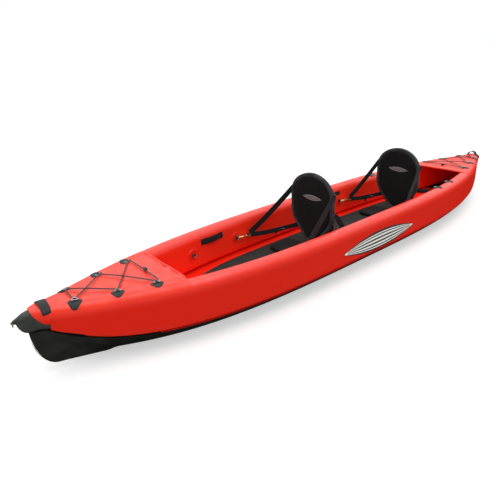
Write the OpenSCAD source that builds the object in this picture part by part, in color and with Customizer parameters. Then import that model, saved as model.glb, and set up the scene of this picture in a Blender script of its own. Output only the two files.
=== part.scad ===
// Two-seat inflatable kayak with drop-stitch side walls, a drop-stitch floor and folding seats.
// Millimetres. +X points to the bow, +Y to port, +Z up. The origin is the middle of the flat bottom.

/* [Hull] */
// Length between the two nose tips
hull_l = 4172; // [3800:4:4600]
// Width over the side walls
beam = 772; // [700:2:900]
// Height of a side wall above the floor's top
side_h = 243; // [205:1:300]
// Thickness of a side wall
wall_t = 102; // [80:1:120]
// Thickness of the floor chamber
floor_t = 100; // [75:1:125]
// Rise of the gunwale at the bow
bow_rise = 27; // [5:1:60]
// Rise of the gunwale at the stern
stern_rise = 10; // [5:1:60]
// Thickness of the deck sheets
deck_t = 3; // [2:0.5:5]
// Distance from the middle to each end of the cockpit
cockpit_half = 1343; // [1300:1:1380]

/* [Noses] */
// Length of a nose cone
cone_l = 130; // [110:1:150]
// Height of a nose cone's underside above the bottom
cone_z = 256; // [240:1:262]
// Wire radius of a tip ring
tip_wire_r = 2; // [1.5:0.5:2.5]
// Radius of a tip ring to the middle of its wire
tip_ring_r = 10; // [9:0.5:14]

/* [Deck fittings] */
// Width of a deck patch
patch_w = 64; // [50:1:80]
// Thickness of a patch
patch_t = 2.5; // [1.5:0.5:4]
// Wire radius of a D-ring
ring_wire_r = 2.5; // [2:0.5:3]
// Inside width of a D-ring
ring_w = 25; // [20:1:30]
// Diameter of the shock cord
cord_d = 6; // [4:0.5:7]
// Width of the carry-handle webbing
handle_w = 42; // [30:1:50]
// Thickness of the handle and strap webbing
web_t = 2.4; // [1.5:0.1:4]

/* [Seats] */
// Distance from the middle of the hull forward to the front seat's hinge
front_seat_x = 205; // [150:1:260]
// Distance from the front seat's hinge aft to the rear seat's hinge
seat_pitch = 965; // [900:1:1020]
// Length of a seat base
base_l = 235; // [200:1:300]
// Width of a seat base
base_w = 380; // [320:1:420]
// Thickness of a seat base
base_t = 30; // [20:1:45]
// Thickness of the floor mat
mat_t = 5; // [3:0.5:10]
// Height of a backrest
back_h = 480; // [400:1:540]
// Width of a backrest
back_w = 364; // [300:1:400]
// Thickness of a backrest
back_t = 30; // [20:1:40]
// Depth of the bag behind a backrest at its foot
bag_t = 110; // [70:1:140]
// Width of the seat straps
strap_w = 45; // [25:1:50]

/* [Valves] */
// Radius of a valve's flange
valve_flange_r = 27; // [22:1:32]
// Radius of a valve's barrel
valve_barrel_r = 17; // [14:1:20]
// Length of a valve's barrel inside the chamber
valve_barrel_l = 34; // [25:1:45]
// Radius of a valve's plunger stem
plunger_r = 3.5; // [2.5:0.5:5]
// Travel of a valve's plunger
plunger_travel = 5; // [3:1:6]

/* [Hidden] */
$fn = 48;
seat_gap = 0.3;             // what rests on another piece lies this far from it
run_gap = 0.6;              // radial room round a loose ring in its eye
pin_gap = 0.08;             // radial room round a pin or bar that turns in a bore
flat_ring_h = ring_wire_r + 0.5;    // a ring's bar above a patch that it lies on
stand_ring_h = 12.5;        // and above a patch that a hook needs room over
half_l = hull_l / 2;
end_rise_x = half_l + 14;   // where the rises above are measured
plan_p = 3.414;             // fullness of the gunwale's plan curve
plan_q = 1.136;
sheer_p = 3.156;
cone_x = half_l - cone_l;   // where a nose cone starts
chine_rise = cone_z - 10 - floor_t;
bow_chine_p = 8.9;
stern_chine_p = 14;
foot_a = 111;               // half-axes of the forefoot's quarter ellipse
foot_b = 191;
foot_x = half_l - 156;
keel_x = foot_x - 217;      // where the flat bottom starts to rise
keel_slope = 0.226;
bilge_in = 24;              // the floor's edge lies this far inside the wall's outer face
bilge_run = 112;            // and its flat bottom this much further in
floor_top = floor_t;
mat_x0 = -1150;
mat_x1 = 1000;
mat_margin = 45;
ring_xy = [[1827, 56], [1644, 107], [1465, 155]];   // deck rings of one end, from the nose aft
anchor_x = [652, -395];     // wall rings that the seats' front straps hook to
foot_ring_x = 1010;
gunwale_x = [-1030, -838];  // wall-top patches behind the rear seat
wall_ring_z = floor_top + 121;
hook_l = 78;
handle_x = half_l - 128;
handle_arch = 26;
wall_handle_x = 850;
wall_handle_l = 175;
wall_handle_z = floor_top + 178;
side_valve_x = -1280;
side_valve_z = floor_top + 115;
floor_valve_x = -1240;
base_top = floor_top + mat_t + base_t + 2 * seat_gap;
hinge_z = base_top + back_t / 2 + 8;
back_z0 = floor_top + 32;   // lowest point of a backrest
back_mid = 172;             // from there up to where its sides are upright
back_arc = 150;             // height of its round top
strap_top_z = 392;          // on the backrest, above the floor's top
strap_low_z = 128;
hook_tilt = 13;             // a seat hook leans into the cockpit by this much
hook_r = 7.5;               // of a hook's bend, to the middle of its wire
hook_wire_r = 2.5;
hook_bar_r = 2.5;
gate_pin = [-40, 0, 1.5];
gate_pin_r = 1.5;
nose_x = -5.5;              // where a hook's nose stops and its gate's tip starts

hull_red = "#e8402c";
pvc_black = "#1c1c1a";
web_black = "#20211f";
patch_grey = "#3b3f41";
brass = "#b9924a";

// ---- lines of the hull ----
function half_w(x) = let (t = min(abs(x) / half_l, 1)) beam / 2 * pow(1 - pow(t, plan_p), plan_q);
function sheer(x) = floor_top + side_h + (x > 0 ? bow_rise : stern_rise) * pow(abs(x) / end_rise_x, sheer_p);
function chine(x) = floor_top + chine_rise * pow(abs(x) / cone_x, x > 0 ? bow_chine_p : stern_chine_p);
function inner_w(x) = max(half_w(x) - wall_t, seat_gap / 2);
function roll_r(x) = min(wall_t, half_w(x)) / 2;
// How far off the curved inner wall the middle of a flat patch lies, so that its edges clear it.
function wall_gap(x) = 0.35 + 0.66 * (2 * inner_w(x) - inner_w(x - 60) - inner_w(x + 60));
function rise(x) = atan((sheer(x + 5) - sheer(x - 5)) / 10);
function wall_turn(x) = atan((inner_w(x - 5) - inner_w(x + 5)) / 10);
function keel(x) = let (a = abs(x))
    a < keel_x ? 0 :
    a < foot_x ? (a - keel_x) * keel_slope :
    foot_b + 49 - foot_b * sqrt(1 - pow(min(a - foot_x, foot_a) / foot_a, 2));

// ---- closed shapes from rings of points; all rings have as many points ----
module loft(rings) {
    n = len(rings[0]);
    m = len(rings);
    polyhedron(points = [for (r = rings) each r],
        faces = concat([[for (i = [0 : n - 1]) i]],
            [for (j = [0 : m - 2], i = [0 : n - 1]) each
                [[j * n + i, (j + 1) * n + i, (j + 1) * n + (i + 1) % n],
                 [j * n + i, (j + 1) * n + (i + 1) % n, j * n + (i + 1) % n]]],
            [[for (i = [n - 1 : -1 : 0]) (m - 1) * n + i]]), convexity = 6);
}

function unit(v) = v / norm(v);
function tangent(p, i) = unit(p[min(i + 1, len(p) - 1)] - p[max(i - 1, 0)]);

// A flat strap of webbing along points p, as wide as w along the direction side.
module webbing(p, side, w, t = web_t) {
    loft([for (i = [0 : len(p) - 1])
        let (d = tangent(p, i), s = unit(side - (side * d) * d), u = cross(d, s))
        [p[i] - s * w / 2 - u * t / 2, p[i] + s * w / 2 - u * t / 2,
         p[i] + s * w / 2 + u * t / 2, p[i] - s * w / 2 + u * t / 2]]);
}

// A round cord round a closed route p.
module cord_loop(p, r, sides = 8) {
    n = len(p);
    pts = [for (i = [0 : n - 1], k = [0 : sides - 1])
        let (d = unit(p[(i + 1) % n] - p[(i + n - 1) % n]), s = unit(cross([0, 0, 1], d)), u = cross(d, s),
             a = 360 * k / sides)
        p[i] + r * cos(a) * s + r * sin(a) * u];
    polyhedron(points = pts, faces = [for (i = [0 : n - 1], k = [0 : sides - 1])
        let (j = (i + 1) % n, l = (k + 1) % sides) each
        [[i * sides + k, j * sides + l, j * sides + k], [i * sides + k, i * sides + l, j * sides + l]]],
        convexity = 6);
}

// Quarter arcs round the corners of a box from (y0, z0) to (y1, z1), anticlockwise seen from +X.
function soft_box(x, y0, y1, z0, z1, r0, r1, n = 5) = [
    for (c = [[y1 - r1, z1 - r1, r1, 0], [y0 + r1, z1 - r1, r1, 90],
              [y0 + r0, z0 + r0, r0, 180], [y1 - r0, z0 + r0, r0, 270]], k = [0 : n])
    let (a = c[3] + 90 * k / n) [x, c[0] + c[2] * cos(a), c[1] + c[2] * sin(a)]];

function spread(a, b, n) = [for (i = [0 : n]) a + (b - a) * i / n];

// ---- floor and side walls ----
// Stations along a side wall from the middle to its end; the floor and the decks share them.
wall_xs = concat(spread(0, 1200, 10), [1270], spread(cockpit_half, 1700, 4), spread(1740, cone_x - seat_gap, 5));
foot_xs = [keel_x, foot_x, cone_x - seat_gap, foot_x + foot_a * 0.5, foot_x + foot_a * 0.75, foot_x + foot_a * 0.9,
    foot_x + foot_a * 0.97, foot_x + foot_a - 1];

function both_ways(v) = concat([for (i = [len(v) - 1 : -1 : 1]) -v[i]], v);
function sorted(v) = len(v) < 2 ? v : let (p = v[floor(len(v) / 2)])
    concat(sorted([for (x = v) if (x < p) x]), [p], sorted([for (x = v) if (x > p) x]));

module floor_chamber() {
    xs = both_ways(sorted(concat(wall_xs, foot_xs)));
    color(pvc_black) difference() {
        loft([for (x = xs) floor_ring(x)]);
        translate([floor_valve_x, 0, floor_top - valve_barrel_l - 1])
            cylinder(r = valve_barrel_r + seat_gap, h = valve_barrel_l + 10);
    }
}

function floor_ring(x) = let (
    a = abs(x),
    zc = min(chine(x), cone_z) - seat_gap,
    zk = keel(x),
    edge = half_w(x) - bilge_in * min(1, half_w(x) / 150),
    yc = a < foot_x ? edge : min(edge, (edge_at_foot()) * sqrt(1 - pow((a - foot_x) / foot_a, 2)) + 3),
    yb = max(yc - bilge_run * (zc - zk) / floor_t, min(0.25 * yc, 12)),
    p = [yc, zc], b = [yb, zk], m = p + (b - p) * 0.72, e = [yb * 0.7, zk],
    half = [p, p + (b - p) * 0.36 + [0.02 * yc, 0], m, 0.56 * m + 0.38 * b + 0.06 * e, 0.25 * m + 0.5 * b + 0.25 * e,
        0.06 * m + 0.38 * b + 0.56 * e, e])
    concat([for (q = half) [x, q[0], q[1]]], [for (i = [len(half) - 1 : -1 : 0]) [x, -half[i][0], half[i][1]]]);
function edge_at_foot() = half_w(foot_x) - bilge_in * min(1, half_w(foot_x) / 150);

module side_chamber() {
    loft([for (x = both_ways(wall_xs)) let (y1 = half_w(x), y0 = inner_w(x), z1 = sheer(x), z0 = chine(x),
        r = min(y1 - y0, z1 - z0) / 2 - 0.1) soft_box(x, y0, y1, z0, z1, r, r)]);
}

module side_valve_place() {
    on_wall(side_valve_x, 1, side_valve_z, wall_gap(side_valve_x)) children();
}

module port_side_chamber() {
    color(hull_red) difference() {
        side_chamber();
        side_valve_place() translate([0, 0, -valve_barrel_l - 1])
            cylinder(r = valve_barrel_r + seat_gap, h = valve_barrel_l + 6);
    }
}

module starboard_side_chamber() {
    color(hull_red) mirror([0, 1, 0]) port_side_chamber();
}

// ---- decks, coamings and noses ----
// The deck's outline across the hull, raised by h, from the port edge to the starboard one.
function deck_line(x, h, turn) = let (r = roll_r(x), y = half_w(x) - r, z = sheer(x) - r,
    port = [for (a = [turn, 36, 18, 0]) [x, y + (r + h) * sin(a), z + (r + h) * cos(a)]])
    concat(port, [for (i = [3 : -1 : 0]) [x, -port[i][1], port[i][2]]]);

function end_sheet_turn(x) = abs(x) < cone_x ? 42 : 42 + 16 * sqrt((abs(x) - cone_x) / cone_l);

module deck(s) {
    xs = concat([for (x = wall_xs) if (x >= cockpit_half) x], spread(cone_x + 20, half_l - 62, 2));
    order = s > 0 ? xs : [for (i = [len(xs) - 1 : -1 : 0]) -xs[i]];
    color(hull_red) loft([for (x = order) let (t = end_sheet_turn(x), top = deck_line(x, deck_t, t),
        low = deck_line(x, seat_gap, t)) concat([for (i = [7 : -1 : 0]) low[i]], top)]);
}
module bow_deck() { deck(1); }
module stern_deck() { deck(-1); }

module cockpit_coamings() {
    r = 7;
    color(hull_red) for (s = [-1, 1]) {
        x = s * (cockpit_half - r - seat_gap);
        y = half_w(x) - roll_r(x) - 26;
        translate([x, 0, sheer(x) + deck_t / 2]) rotate([90, 0, 0]) cylinder(r = r, h = 2 * y, center = true);
    }
}

function cone_ring(d) = let (          // d runs from 0 at the cone's root to cone_l at its tip
    t = d / cone_l, x = cone_x + d,
    w = max(half_w(min(x, half_l - 60)) - 0.3, 1) * sqrt(1 - pow(max(t - 0.35, 0) / 0.68, 2)),
    drop = 22 * pow(t, 3), lift = 31 * pow(max(t - 0.5, 0) / 0.5, 1.5),
    z1 = sheer(cone_x) - drop, z0 = cone_z + lift, r1 = min(w * 0.5, (z1 - z0) / 2 - 0.5))
    [w, z0, z1, r1];

module nose_cone(s) {
    lug_x = half_l + 8;
    lug_z = tip_eye_z(s);
    dz = sheer(s * cone_x) - sheer(cone_x);
    ds = spread(0, cone_l, 10);
    order = s > 0 ? ds : [for (i = [len(ds) - 1 : -1 : 0]) ds[i]];
    color(pvc_black) difference() {
        union() {
            loft([for (d = order) let (c = cone_ring(d), k = 1 + dz / (sheer(cone_x) - cone_z),
                z1 = cone_z + (c[2] - cone_z) * k, z0 = c[1])
                soft_box(s * (cone_x + d), -c[0], c[0], z0, z1, min(c[3], (z1 - z0) / 2 - 0.5),
                    min(c[3], (z1 - z0) / 2 - 0.5), 3)]);
            translate([s * (lug_x - 9), 0, lug_z]) cube([18, 5, 12], center = true);
            translate([s * lug_x, 0, lug_z]) rotate([90, 0, 0]) cylinder(r = 6, h = 5, center = true);
        }
        translate([s * lug_x, 0, lug_z]) rotate([90, 0, 0]) cylinder(r = tip_wire_r + run_gap, h = 20, center = true);
    }
}
function tip_eye_z(s) = sheer(s * cone_x) - 36;
module bow_nose_cone() { nose_cone(1); }
module stern_nose_cone() { nose_cone(-1); }

module tip_ring(s) {
    color("#4a4f47") translate([s * (half_l + 8), 0, tip_eye_z(s) - tip_ring_r])
        rotate([90, 0, 90]) rotate_extrude() translate([tip_ring_r, 0]) circle(r = tip_wire_r);
}
module bow_tip_ring() { tip_ring(1); }
module stern_tip_ring() { tip_ring(-1); }

// Rub strip moulded round the forefoot.
module keel_guard(s) {
    t = 3;
    a0 = 12;
    a1 = 78;
    n = 9;
    pts = [for (i = [0 : n]) let (a = a0 + (a1 - a0) * i / n)
        [s * (foot_x + foot_a * sin(a)), 0, foot_b + 49 - foot_b * cos(a)]];
    out = [for (i = [0 : n]) let (a = a0 + (a1 - a0) * i / n) unit([s * sin(a) / foot_a, 0, -cos(a) / foot_b])];
    color(pvc_black) loft([for (i = s > 0 ? [0 : n] : [n : -1 : 0])
        let (p = pts[i] + out[i] * 0.7, q = pts[i] + out[i] * (0.7 + t))
        [[p[0], 8, p[2]], [p[0], -8, p[2]], [q[0], -8, q[2]], [q[0], 8, q[2]]]]);
}
module bow_keel_guard() { keel_guard(1); }
module stern_keel_guard() { keel_guard(-1); }

module floor_mat() {
    xs = spread(mat_x0, mat_x1, 20);
    outline = [for (x = xs) [x, half_w(x) - wall_t - mat_margin - (x > 700 ? pow((x - 700) / 60, 2) : 0)]];
    color("#2a2d2b") translate([0, 0, floor_top + 0.2]) linear_extrude(mat_t)
        polygon(concat(outline, [for (i = [len(outline) - 1 : -1 : 0]) [outline[i][0], -outline[i][1]]]));
}

// A lens-shaped badge on each outer wall.
module side_badges() {
    l = 375;
    h = 82;
    n = 16;
    edge = [for (i = [0 : n]) [-l + 2 * l * i / n, h * (1 - pow(2 * i / n - 1, 2))]];
    color("white") for (s = [-1, 1])
        translate([-40, s * (half_w(-40) + 0.9), floor_top + 118]) rotate([90, 0, 0]) linear_extrude(1, center = true)
            polygon(concat(edge, [for (i = [n - 1 : -1 : 1]) [edge[i][0], -edge[i][1]]]));
}

// ---- patches and rings ----
module flip_y(s) {
    if (s < 0) mirror([0, 1, 0]) children();
    else children();
}

// Children stand on the gunwale's round top at x, turned by a degrees towards the outside.
module on_roll(x, s, a, h) {
    r = roll_r(x);
    flip_y(s) translate([x, half_w(x) - r, sheer(x) - r]) rotate([-a, -rise(x), -wall_turn(x)])
        translate([0, 0, r + h]) children();
}

// Children lie on the inner wall: local +Z points into the cockpit and local +Y up.
module on_wall(x, s, z, h) {
    flip_y(s) translate([x, inner_w(x) - h, z]) rotate([90, 0, -wall_turn(x)]) children();
}

module shield(w, l, t) {       // cut at the inboard end, round at the outboard one
    linear_extrude(t) polygon(concat([[w * 0.5, l * 0.25], [w * 0.3, 0], [-w * 0.3, 0], [-w * 0.5, l * 0.25]],
        [for (a = [180 : -15 : 0]) [w * 0.46 * cos(a), l * (0.5 + 0.5 * sin(a))]]));
}

module d_ring(w = ring_w, r = ring_wire_r) {      // its bar lies on X, its bow points to -Y
    rotate([0, 90, 0]) cylinder(r = r, h = w + 2 * r, center = true);
    rotate([0, 0, 180]) rotate_extrude(angle = 180) translate([w / 2 + r, 0]) circle(r = r);
}

module keeper(h, l = ring_w - 5) {      // the loop of webbing that holds a ring's bar, h above its patch
    d = 2 * ring_wire_r + 4;
    difference() {
        translate([-l / 2, -d / 2, 0]) cube([l, d, h + ring_wire_r + 2]);
        translate([0, 0, h]) rotate([0, 90, 0]) cylinder(r = ring_wire_r + pin_gap, h = 2 * l, center = true);
    }
}

module deck_fitting_place() {
    for (e = [-1, 1], p = ring_xy, s = [-1, 1]) {
        t = wall_turn(e * p[0]);
        d = 6 + patch_w * 0.35;
        x = e * p[0] + d * sin(t);
        y = p[1] + d * cos(t);
        r = roll_r(x) + deck_t;
        a = asin(max(0, min(0.7, (y - half_w(x) + roll_r(x)) * cos(t) / r)));
        flip_y(s) translate([x, y, sheer(x) - roll_r(x) + r * cos(a) + (a > 5 ? 0 : 0.4)]) rotate([-a, -rise(x), -t])
            translate([0, -patch_w * 0.35, 0]) children();
    }
}

module deck_patches() {
    color(patch_grey) deck_fitting_place() {
        shield(patch_w, patch_w * 0.7, patch_t);
        translate([0, 10, patch_t]) keeper(flat_ring_h);
    }
}
module deck_rings() {
    color("#50555a") deck_fitting_place() translate([0, 10, patch_t + flat_ring_h]) d_ring();
}

module gunwale_fitting_place() {
    for (x = gunwale_x, s = [-1, 1]) on_roll(x, s, -18, 0.6) children();
}
module gunwale_patches() {
    color(patch_grey) gunwale_fitting_place() {
        translate([-23, -17, 0]) cube([46, 40, patch_t]);
        translate([0, -10, patch_t]) keeper(flat_ring_h);
    }
}
module gunwale_rings() {
    color("#50555a") gunwale_fitting_place() translate([0, -10, patch_t + flat_ring_h]) d_ring();
}

module wall_patches() {
    color(hull_red) for (s = [-1, 1]) {
        for (x = concat(anchor_x, [foot_ring_x]))
            on_wall(x, s, wall_ring_z, wall_gap(x)) {
                cylinder(r = 34, h = patch_t);
                translate([0, 0, patch_t]) rotate([0, 0, x == foot_ring_x ? 0 : 90]) keeper(stand_ring_h);
            }
        x = gunwale_x[0] + 90;
        on_wall(x, s, wall_ring_z, wall_gap(x)) cylinder(r = 34, h = patch_t);
    }
}

module wall_ring_place(x, s) {
    on_wall(x, s, wall_ring_z, wall_gap(x)) translate([0, 0, patch_t + stand_ring_h]) children();
}

module seat_anchor_rings() {
    color("#50555a") for (s = [-1, 1], x = anchor_x) wall_ring_place(x, s) rotate([0, 0, -90]) d_ring();
}

module foot_ring(s) {
    color("#50555a") wall_ring_place(foot_ring_x, s) d_ring();
}
module port_foot_ring() { foot_ring(1); }
module starboard_foot_ring() { foot_ring(-1); }

// ---- shock cord: x and y, and height above the deck; it runs through the rings ----
cord_route = [[1465, -138, 10], [1465, -128, 10], [1500, -77, 8], [1554, 0, 6.5], [1600, 60, 7], [1632, 92, 10],
    [1650, 94, 10], [1680, 70, 7], [1722, 34, 6.5], [1752, 12, 14], [1764, 0, 14], [1782, -14, 12],
    [1812, -38, 10], [1832, -42, 10], [1836, -26, 9], [1836, 26, 9], [1832, 42, 10], [1812, 38, 10],
    [1782, 14, 7], [1764, 0, 5.5], [1722, -34, 5.5], [1680, -70, 7], [1650, -94, 10], [1632, -92, 10],
    [1600, -52, 9], [1574, -22, 15], [1554, 8, 15], [1534, 34, 13], [1496, 86, 9], [1468, 130, 10],
    [1455, 138, 10], [1446, 124, 10], [1440, 60, 9.3], [1440, 0, 9.3], [1440, -60, 9.3], [1446, -124, 10], [1455, -138, 10]];

module bungee(s) {
    color("#17181a") cord_loop([for (p = cord_route)
        [s * p[0], s * p[1], sheer(s * p[0]) + deck_t + p[2] - 6 + cord_d]], cord_d / 2);
}
module bow_bungee() { bungee(1); }
module stern_bungee() { bungee(-1); }

module bungee_toggles() {
    color(web_black) for (s = [-1, 1]) {
        z = sheer(s * 1440) + deck_t + 3.3 + cord_d;
        translate([s * 1440, 0, z]) rotate([90, 0, 0]) difference() {
            cylinder(r = 9, h = 22, center = true);
            cylinder(r = cord_d / 2 + seat_gap, h = 30, center = true);
        }
    }
}

// ---- handles ----
// Half of a carry handle's line across the nose at x, out to h above the deck; its feet lie on the gunwale.
function handle_line(x, h) = let (r0 = roll_r(x), r = r0 + deck_t + 0.9 + h, yc = half_w(x) - r0, zc = sheer(x) - r0)
    concat([for (a = [66, 54, 42]) [yc + r * sin(a), zc + r * cos(a)]],
        [for (a = [90 : -22.5 : 0]) [(yc + 8) * sin(a) * 0.9, zc + r + handle_arch * cos(a) + 2]]);

module end_handle(s) {
    line = [for (h = [0, web_t]) [for (d = [-0.5, 0.5]) let (x = s * (handle_x + s * d * handle_w))
        let (half = handle_line(x, h), n = len(half)) concat([for (p = half) [x, p[0], p[1]]],
            [for (i = [n - 2 : -1 : 0]) [x, -half[i][0], half[i][1]]])]];
    color(web_black) loft([for (i = [0 : len(line[0][0]) - 1])
        [line[0][0][i], line[1][0][i], line[1][1][i], line[0][1][i]]]);
}
module bow_handle() { end_handle(1); }
module stern_handle() { end_handle(-1); }

function wall_sag(x, d) = d * d * (2 * inner_w(x) - inner_w(x - 60) - inner_w(x + 60)) / 7200;

module wall_handles() {
    l = wall_handle_l / 2;
    rise = [[-l, 0.9], [-l + 32, 0.9], [-l + 46, 7], [-l + 62, 16], [0, 19], [l - 62, 16], [l - 46, 7], [l - 32, 0.9],
        [l, 0.9]];
    color(web_black) for (s = [-1, 1])
        on_wall(wall_handle_x, s, wall_handle_z, 0.9)
            webbing([for (p = rise) [p[0], 0, p[1] + web_t / 2 - 1 + wall_sag(wall_handle_x, p[0])]], [0, 1, 0], 36);
}

// ---- valves: local +Z points out of the chamber ----
module valve_body() {
    color(pvc_black) difference() {
        union() {
            cylinder(r = valve_flange_r, h = 3);
            translate([0, 0, -valve_barrel_l]) cylinder(r = valve_barrel_r, h = valve_barrel_l + 8);
        }
        translate([0, 0, -6]) cylinder(r = valve_barrel_r - 4, h = 30);
        translate([0, 0, -valve_barrel_l - 1]) cylinder(r = valve_barrel_r - 6, h = valve_barrel_l - 10);
        translate([0, 0, -valve_barrel_l]) cylinder(r = plunger_r + pin_gap, h = 60);
    }
}

module valve_plunger() {
    color("#8f9392") {
        translate([0, 0, -12]) cylinder(r = plunger_r, h = 14);
        translate([0, 0, 2]) cylinder(r = plunger_r + 2, h = 3);
        translate([0, 0, -13.3]) cylinder(r = valve_barrel_r - 8, h = 2);
    }
}

module valve_cap() {
    r = valve_barrel_r + pin_gap;
    color("#2b2d2c") difference() {
        union() {
            translate([0, 0, 3.3]) cylinder(r = r + 3, h = 10);
            translate([0, 0, 14.5]) cube([2 * r, 5, 4], center = true);
        }
        translate([0, 0, 3]) cylinder(r = r, h = 7);
    }
}

module floor_valve_place() { translate([floor_valve_x, 0, floor_top + seat_gap]) children(); }
module starboard_valve_place() { mirror([0, 1, 0]) side_valve_place() children(); }
module floor_valve_body() { floor_valve_place() valve_body(); }
module floor_valve_plunger() { floor_valve_place() valve_plunger(); }
module floor_valve_cap() { floor_valve_place() valve_cap(); }
module port_valve_body() { side_valve_place() valve_body(); }
module port_valve_plunger() { side_valve_place() valve_plunger(); }
module port_valve_cap() { side_valve_place() valve_cap(); }
module starboard_valve_body() { starboard_valve_place() valve_body(); }
module starboard_valve_plunger() { starboard_valve_place() valve_plunger(); }
module starboard_valve_cap() { starboard_valve_place() valve_cap(); }

// ---- seats ----
rear_seat_x = front_seat_x - seat_pitch;

module seat_base(x) {
    r = 30;
    color(web_black) translate([x + back_t / 2 + 14 + r, 0, floor_top + mat_t + seat_gap])
        linear_extrude(base_t) union() {
            translate([0, r - base_w / 2]) square([base_l - 2 * r, base_w - 2 * r]);
            translate([-r, r - base_w / 2]) square([base_l, base_w - 2 * r]);
            translate([0, -base_w / 2]) square([base_l - 2 * r, base_w]);
            for (a = [0, base_l - 2 * r], y = [-1, 1]) translate([a, y * (base_w / 2 - r)]) circle(r = r);
        }
}

// Half the width of a backrest at height z above its foot.
function back_edge(z) = let (h = back_w / 2, z1 = back_h - back_arc)
    z < back_mid ? h * pow(z / back_mid, 0.625) :
    z < z1 ? h : h * sqrt(max(0, 1 - pow((z - z1) / back_arc, 2)));

module backrest(x) {
    zs = concat(spread(back_mid * 0.06, back_mid, 6), [for (a = [0 : 15 : 75]) back_h - back_arc * (1 - sin(a))]);
    color(web_black) translate([x - back_t / 2, 0, back_z0]) rotate([90, 0, 90]) linear_extrude(back_t)
        polygon(concat([for (z = zs) [back_edge(z), z]], [[0, back_h]],
            [for (i = [len(zs) - 1 : -1 : 0]) [-back_edge(zs[i]), zs[i]]]));
}

module seat_bag(x) {
    w = back_w * 0.62;
    x1 = x - back_t / 2 - seat_gap;
    z = back_z0 + 46;
    color(web_black) translate([0, w / 2, 0]) rotate([90, 0, 0]) linear_extrude(w)
        polygon([[x1, z], [x1, z + 250], [x1 - 30, z + 238], [x1 - bag_t + 12, z + 70], [x1 - bag_t, z + 22],
            [x1 - bag_t + 14, z]]);
}

// Side-release buckle behind each edge of a backrest.
module buckles(x) {
    color("#26282a") for (s = [-1, 1])
        translate([x - back_t / 2 - 6, s * (back_w / 2 - 22), floor_top + strap_top_z - 16]) difference() {
            cube([11, strap_w + 8, 52], center = true);
            translate([0, 0, 12]) cube([12, strap_w - 6, 8], center = true);
            translate([0, 0, -12]) cube([12, strap_w - 6, 8], center = true);
        }
}

// Where point p of an anchor ring's own frame lies, on the port side.
function ring_point(ax, p) = let (t = wall_turn(ax), h = p[2] + patch_t + stand_ring_h)
    [ax + p[0] * cos(t) - h * sin(t), inner_w(ax) - wall_gap(ax) - p[0] * sin(t) - h * cos(t), wall_ring_z + p[1]];

// The middle of the hook's strap bar on the port side, and the way the bar points.
hook_x = -(ring_w / 2 + ring_wire_r + hook_r - hook_wire_r - ring_wire_r - seat_gap);
function hook_eye(ax) = ring_point(ax, [hook_x - hook_l * cos(hook_tilt), 0, hook_l * sin(hook_tilt)]);
function hook_side(ax) = unit(ring_point(ax, [sin(hook_tilt), 0, cos(hook_tilt)]) - ring_point(ax, [0, 0, 0]));

function back_y(z, gap) = back_edge(floor_top + z - back_z0) + gap + strap_w / 2;
function upper_path(x, ax) = let (eye = hook_eye(ax) + [0, 0, hook_bar_r + web_t / 2 + 1.5],
    top = [x, back_y(strap_top_z, -0.7), floor_top + strap_top_z])
    [top, top + (eye - top) * 0.3 - [0, 0, 4], top + (eye - top) * 0.65 - [0, 0, 5], eye + [-18, 1, 13], eye];
function lower_path(x, ax) = let (eye = hook_eye(ax) - [0, 0, hook_bar_r + web_t / 2 + 0.4],
    low = [x, back_y(strap_low_z, 0), floor_top + strap_low_z])
    [low, low + (eye - low) * 0.3 - [0, 0, 4], low + (eye - low) * 0.65 - [0, 0, 6], eye + [-20, 1, 0], eye];

// A front strap: from the backrest's edge down to the hook, and back low to the backrest's foot.
module front_strap(x, ax, s) {
    color(web_black) flip_y(s) {
        webbing(upper_path(x, ax), hook_side(ax), strap_w);
        webbing(lower_path(x, ax), hook_side(ax), strap_w);
    }
}

// A back strap: from the back of a backrest aft to the wall, on both sides.
module back_straps(p) {
    color(web_black) for (s = [-1, 1]) flip_y(s) webbing(p, [0, 0, 1], strap_w * 0.7);
}
function back_start(x, z) = let (bx = x - back_t / 2 - seat_gap - web_t / 2, y = back_w / 2)
    [[bx, y - 62, z], [bx, y - 16, z], [bx - 9, y + 8, z]];

module strap_adjusters(x, ax) {
    p = lower_path(x, ax);
    d = unit(p[2] - p[1]);
    color("#26282a") for (s = [-1, 1])
        flip_y(s) translate(p[1] + (p[2] - p[1]) * 0.15) rotate([0, -asin(d[2]), atan(d[1] / d[0])])
            translate([0, 0, web_t / 2 + seat_gap]) difference() {
                translate([-11, -strap_w / 2 - 4, 0]) cube([22, strap_w + 8, 3.4]);
                for (x = [-7.5, 2.5]) translate([x, -strap_w / 2, -1]) cube([5, strap_w, 6]);
            }
}

// ---- brass snap hooks: local X points to the bow, +Z into the cockpit, the middle of the bend at the origin ----

module hook_place(ax, s) {
    wall_ring_place(ax, s) translate([hook_x, 0, 0]) rotate([0, hook_tilt, 0]) children();
}

// A round rod along points p, whose first ring lies across ref.
module rod(p, r, ref, sides = 12) {
    loft([for (i = [0 : len(p) - 1]) let (d = tangent(p, i), s = unit(cross(ref, d)), u = cross(d, s))
        [for (k = [0 : sides - 1]) p[i] + r * cos(360 * k / sides) * s + r * sin(360 * k / sides) * u]]);
}

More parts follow.
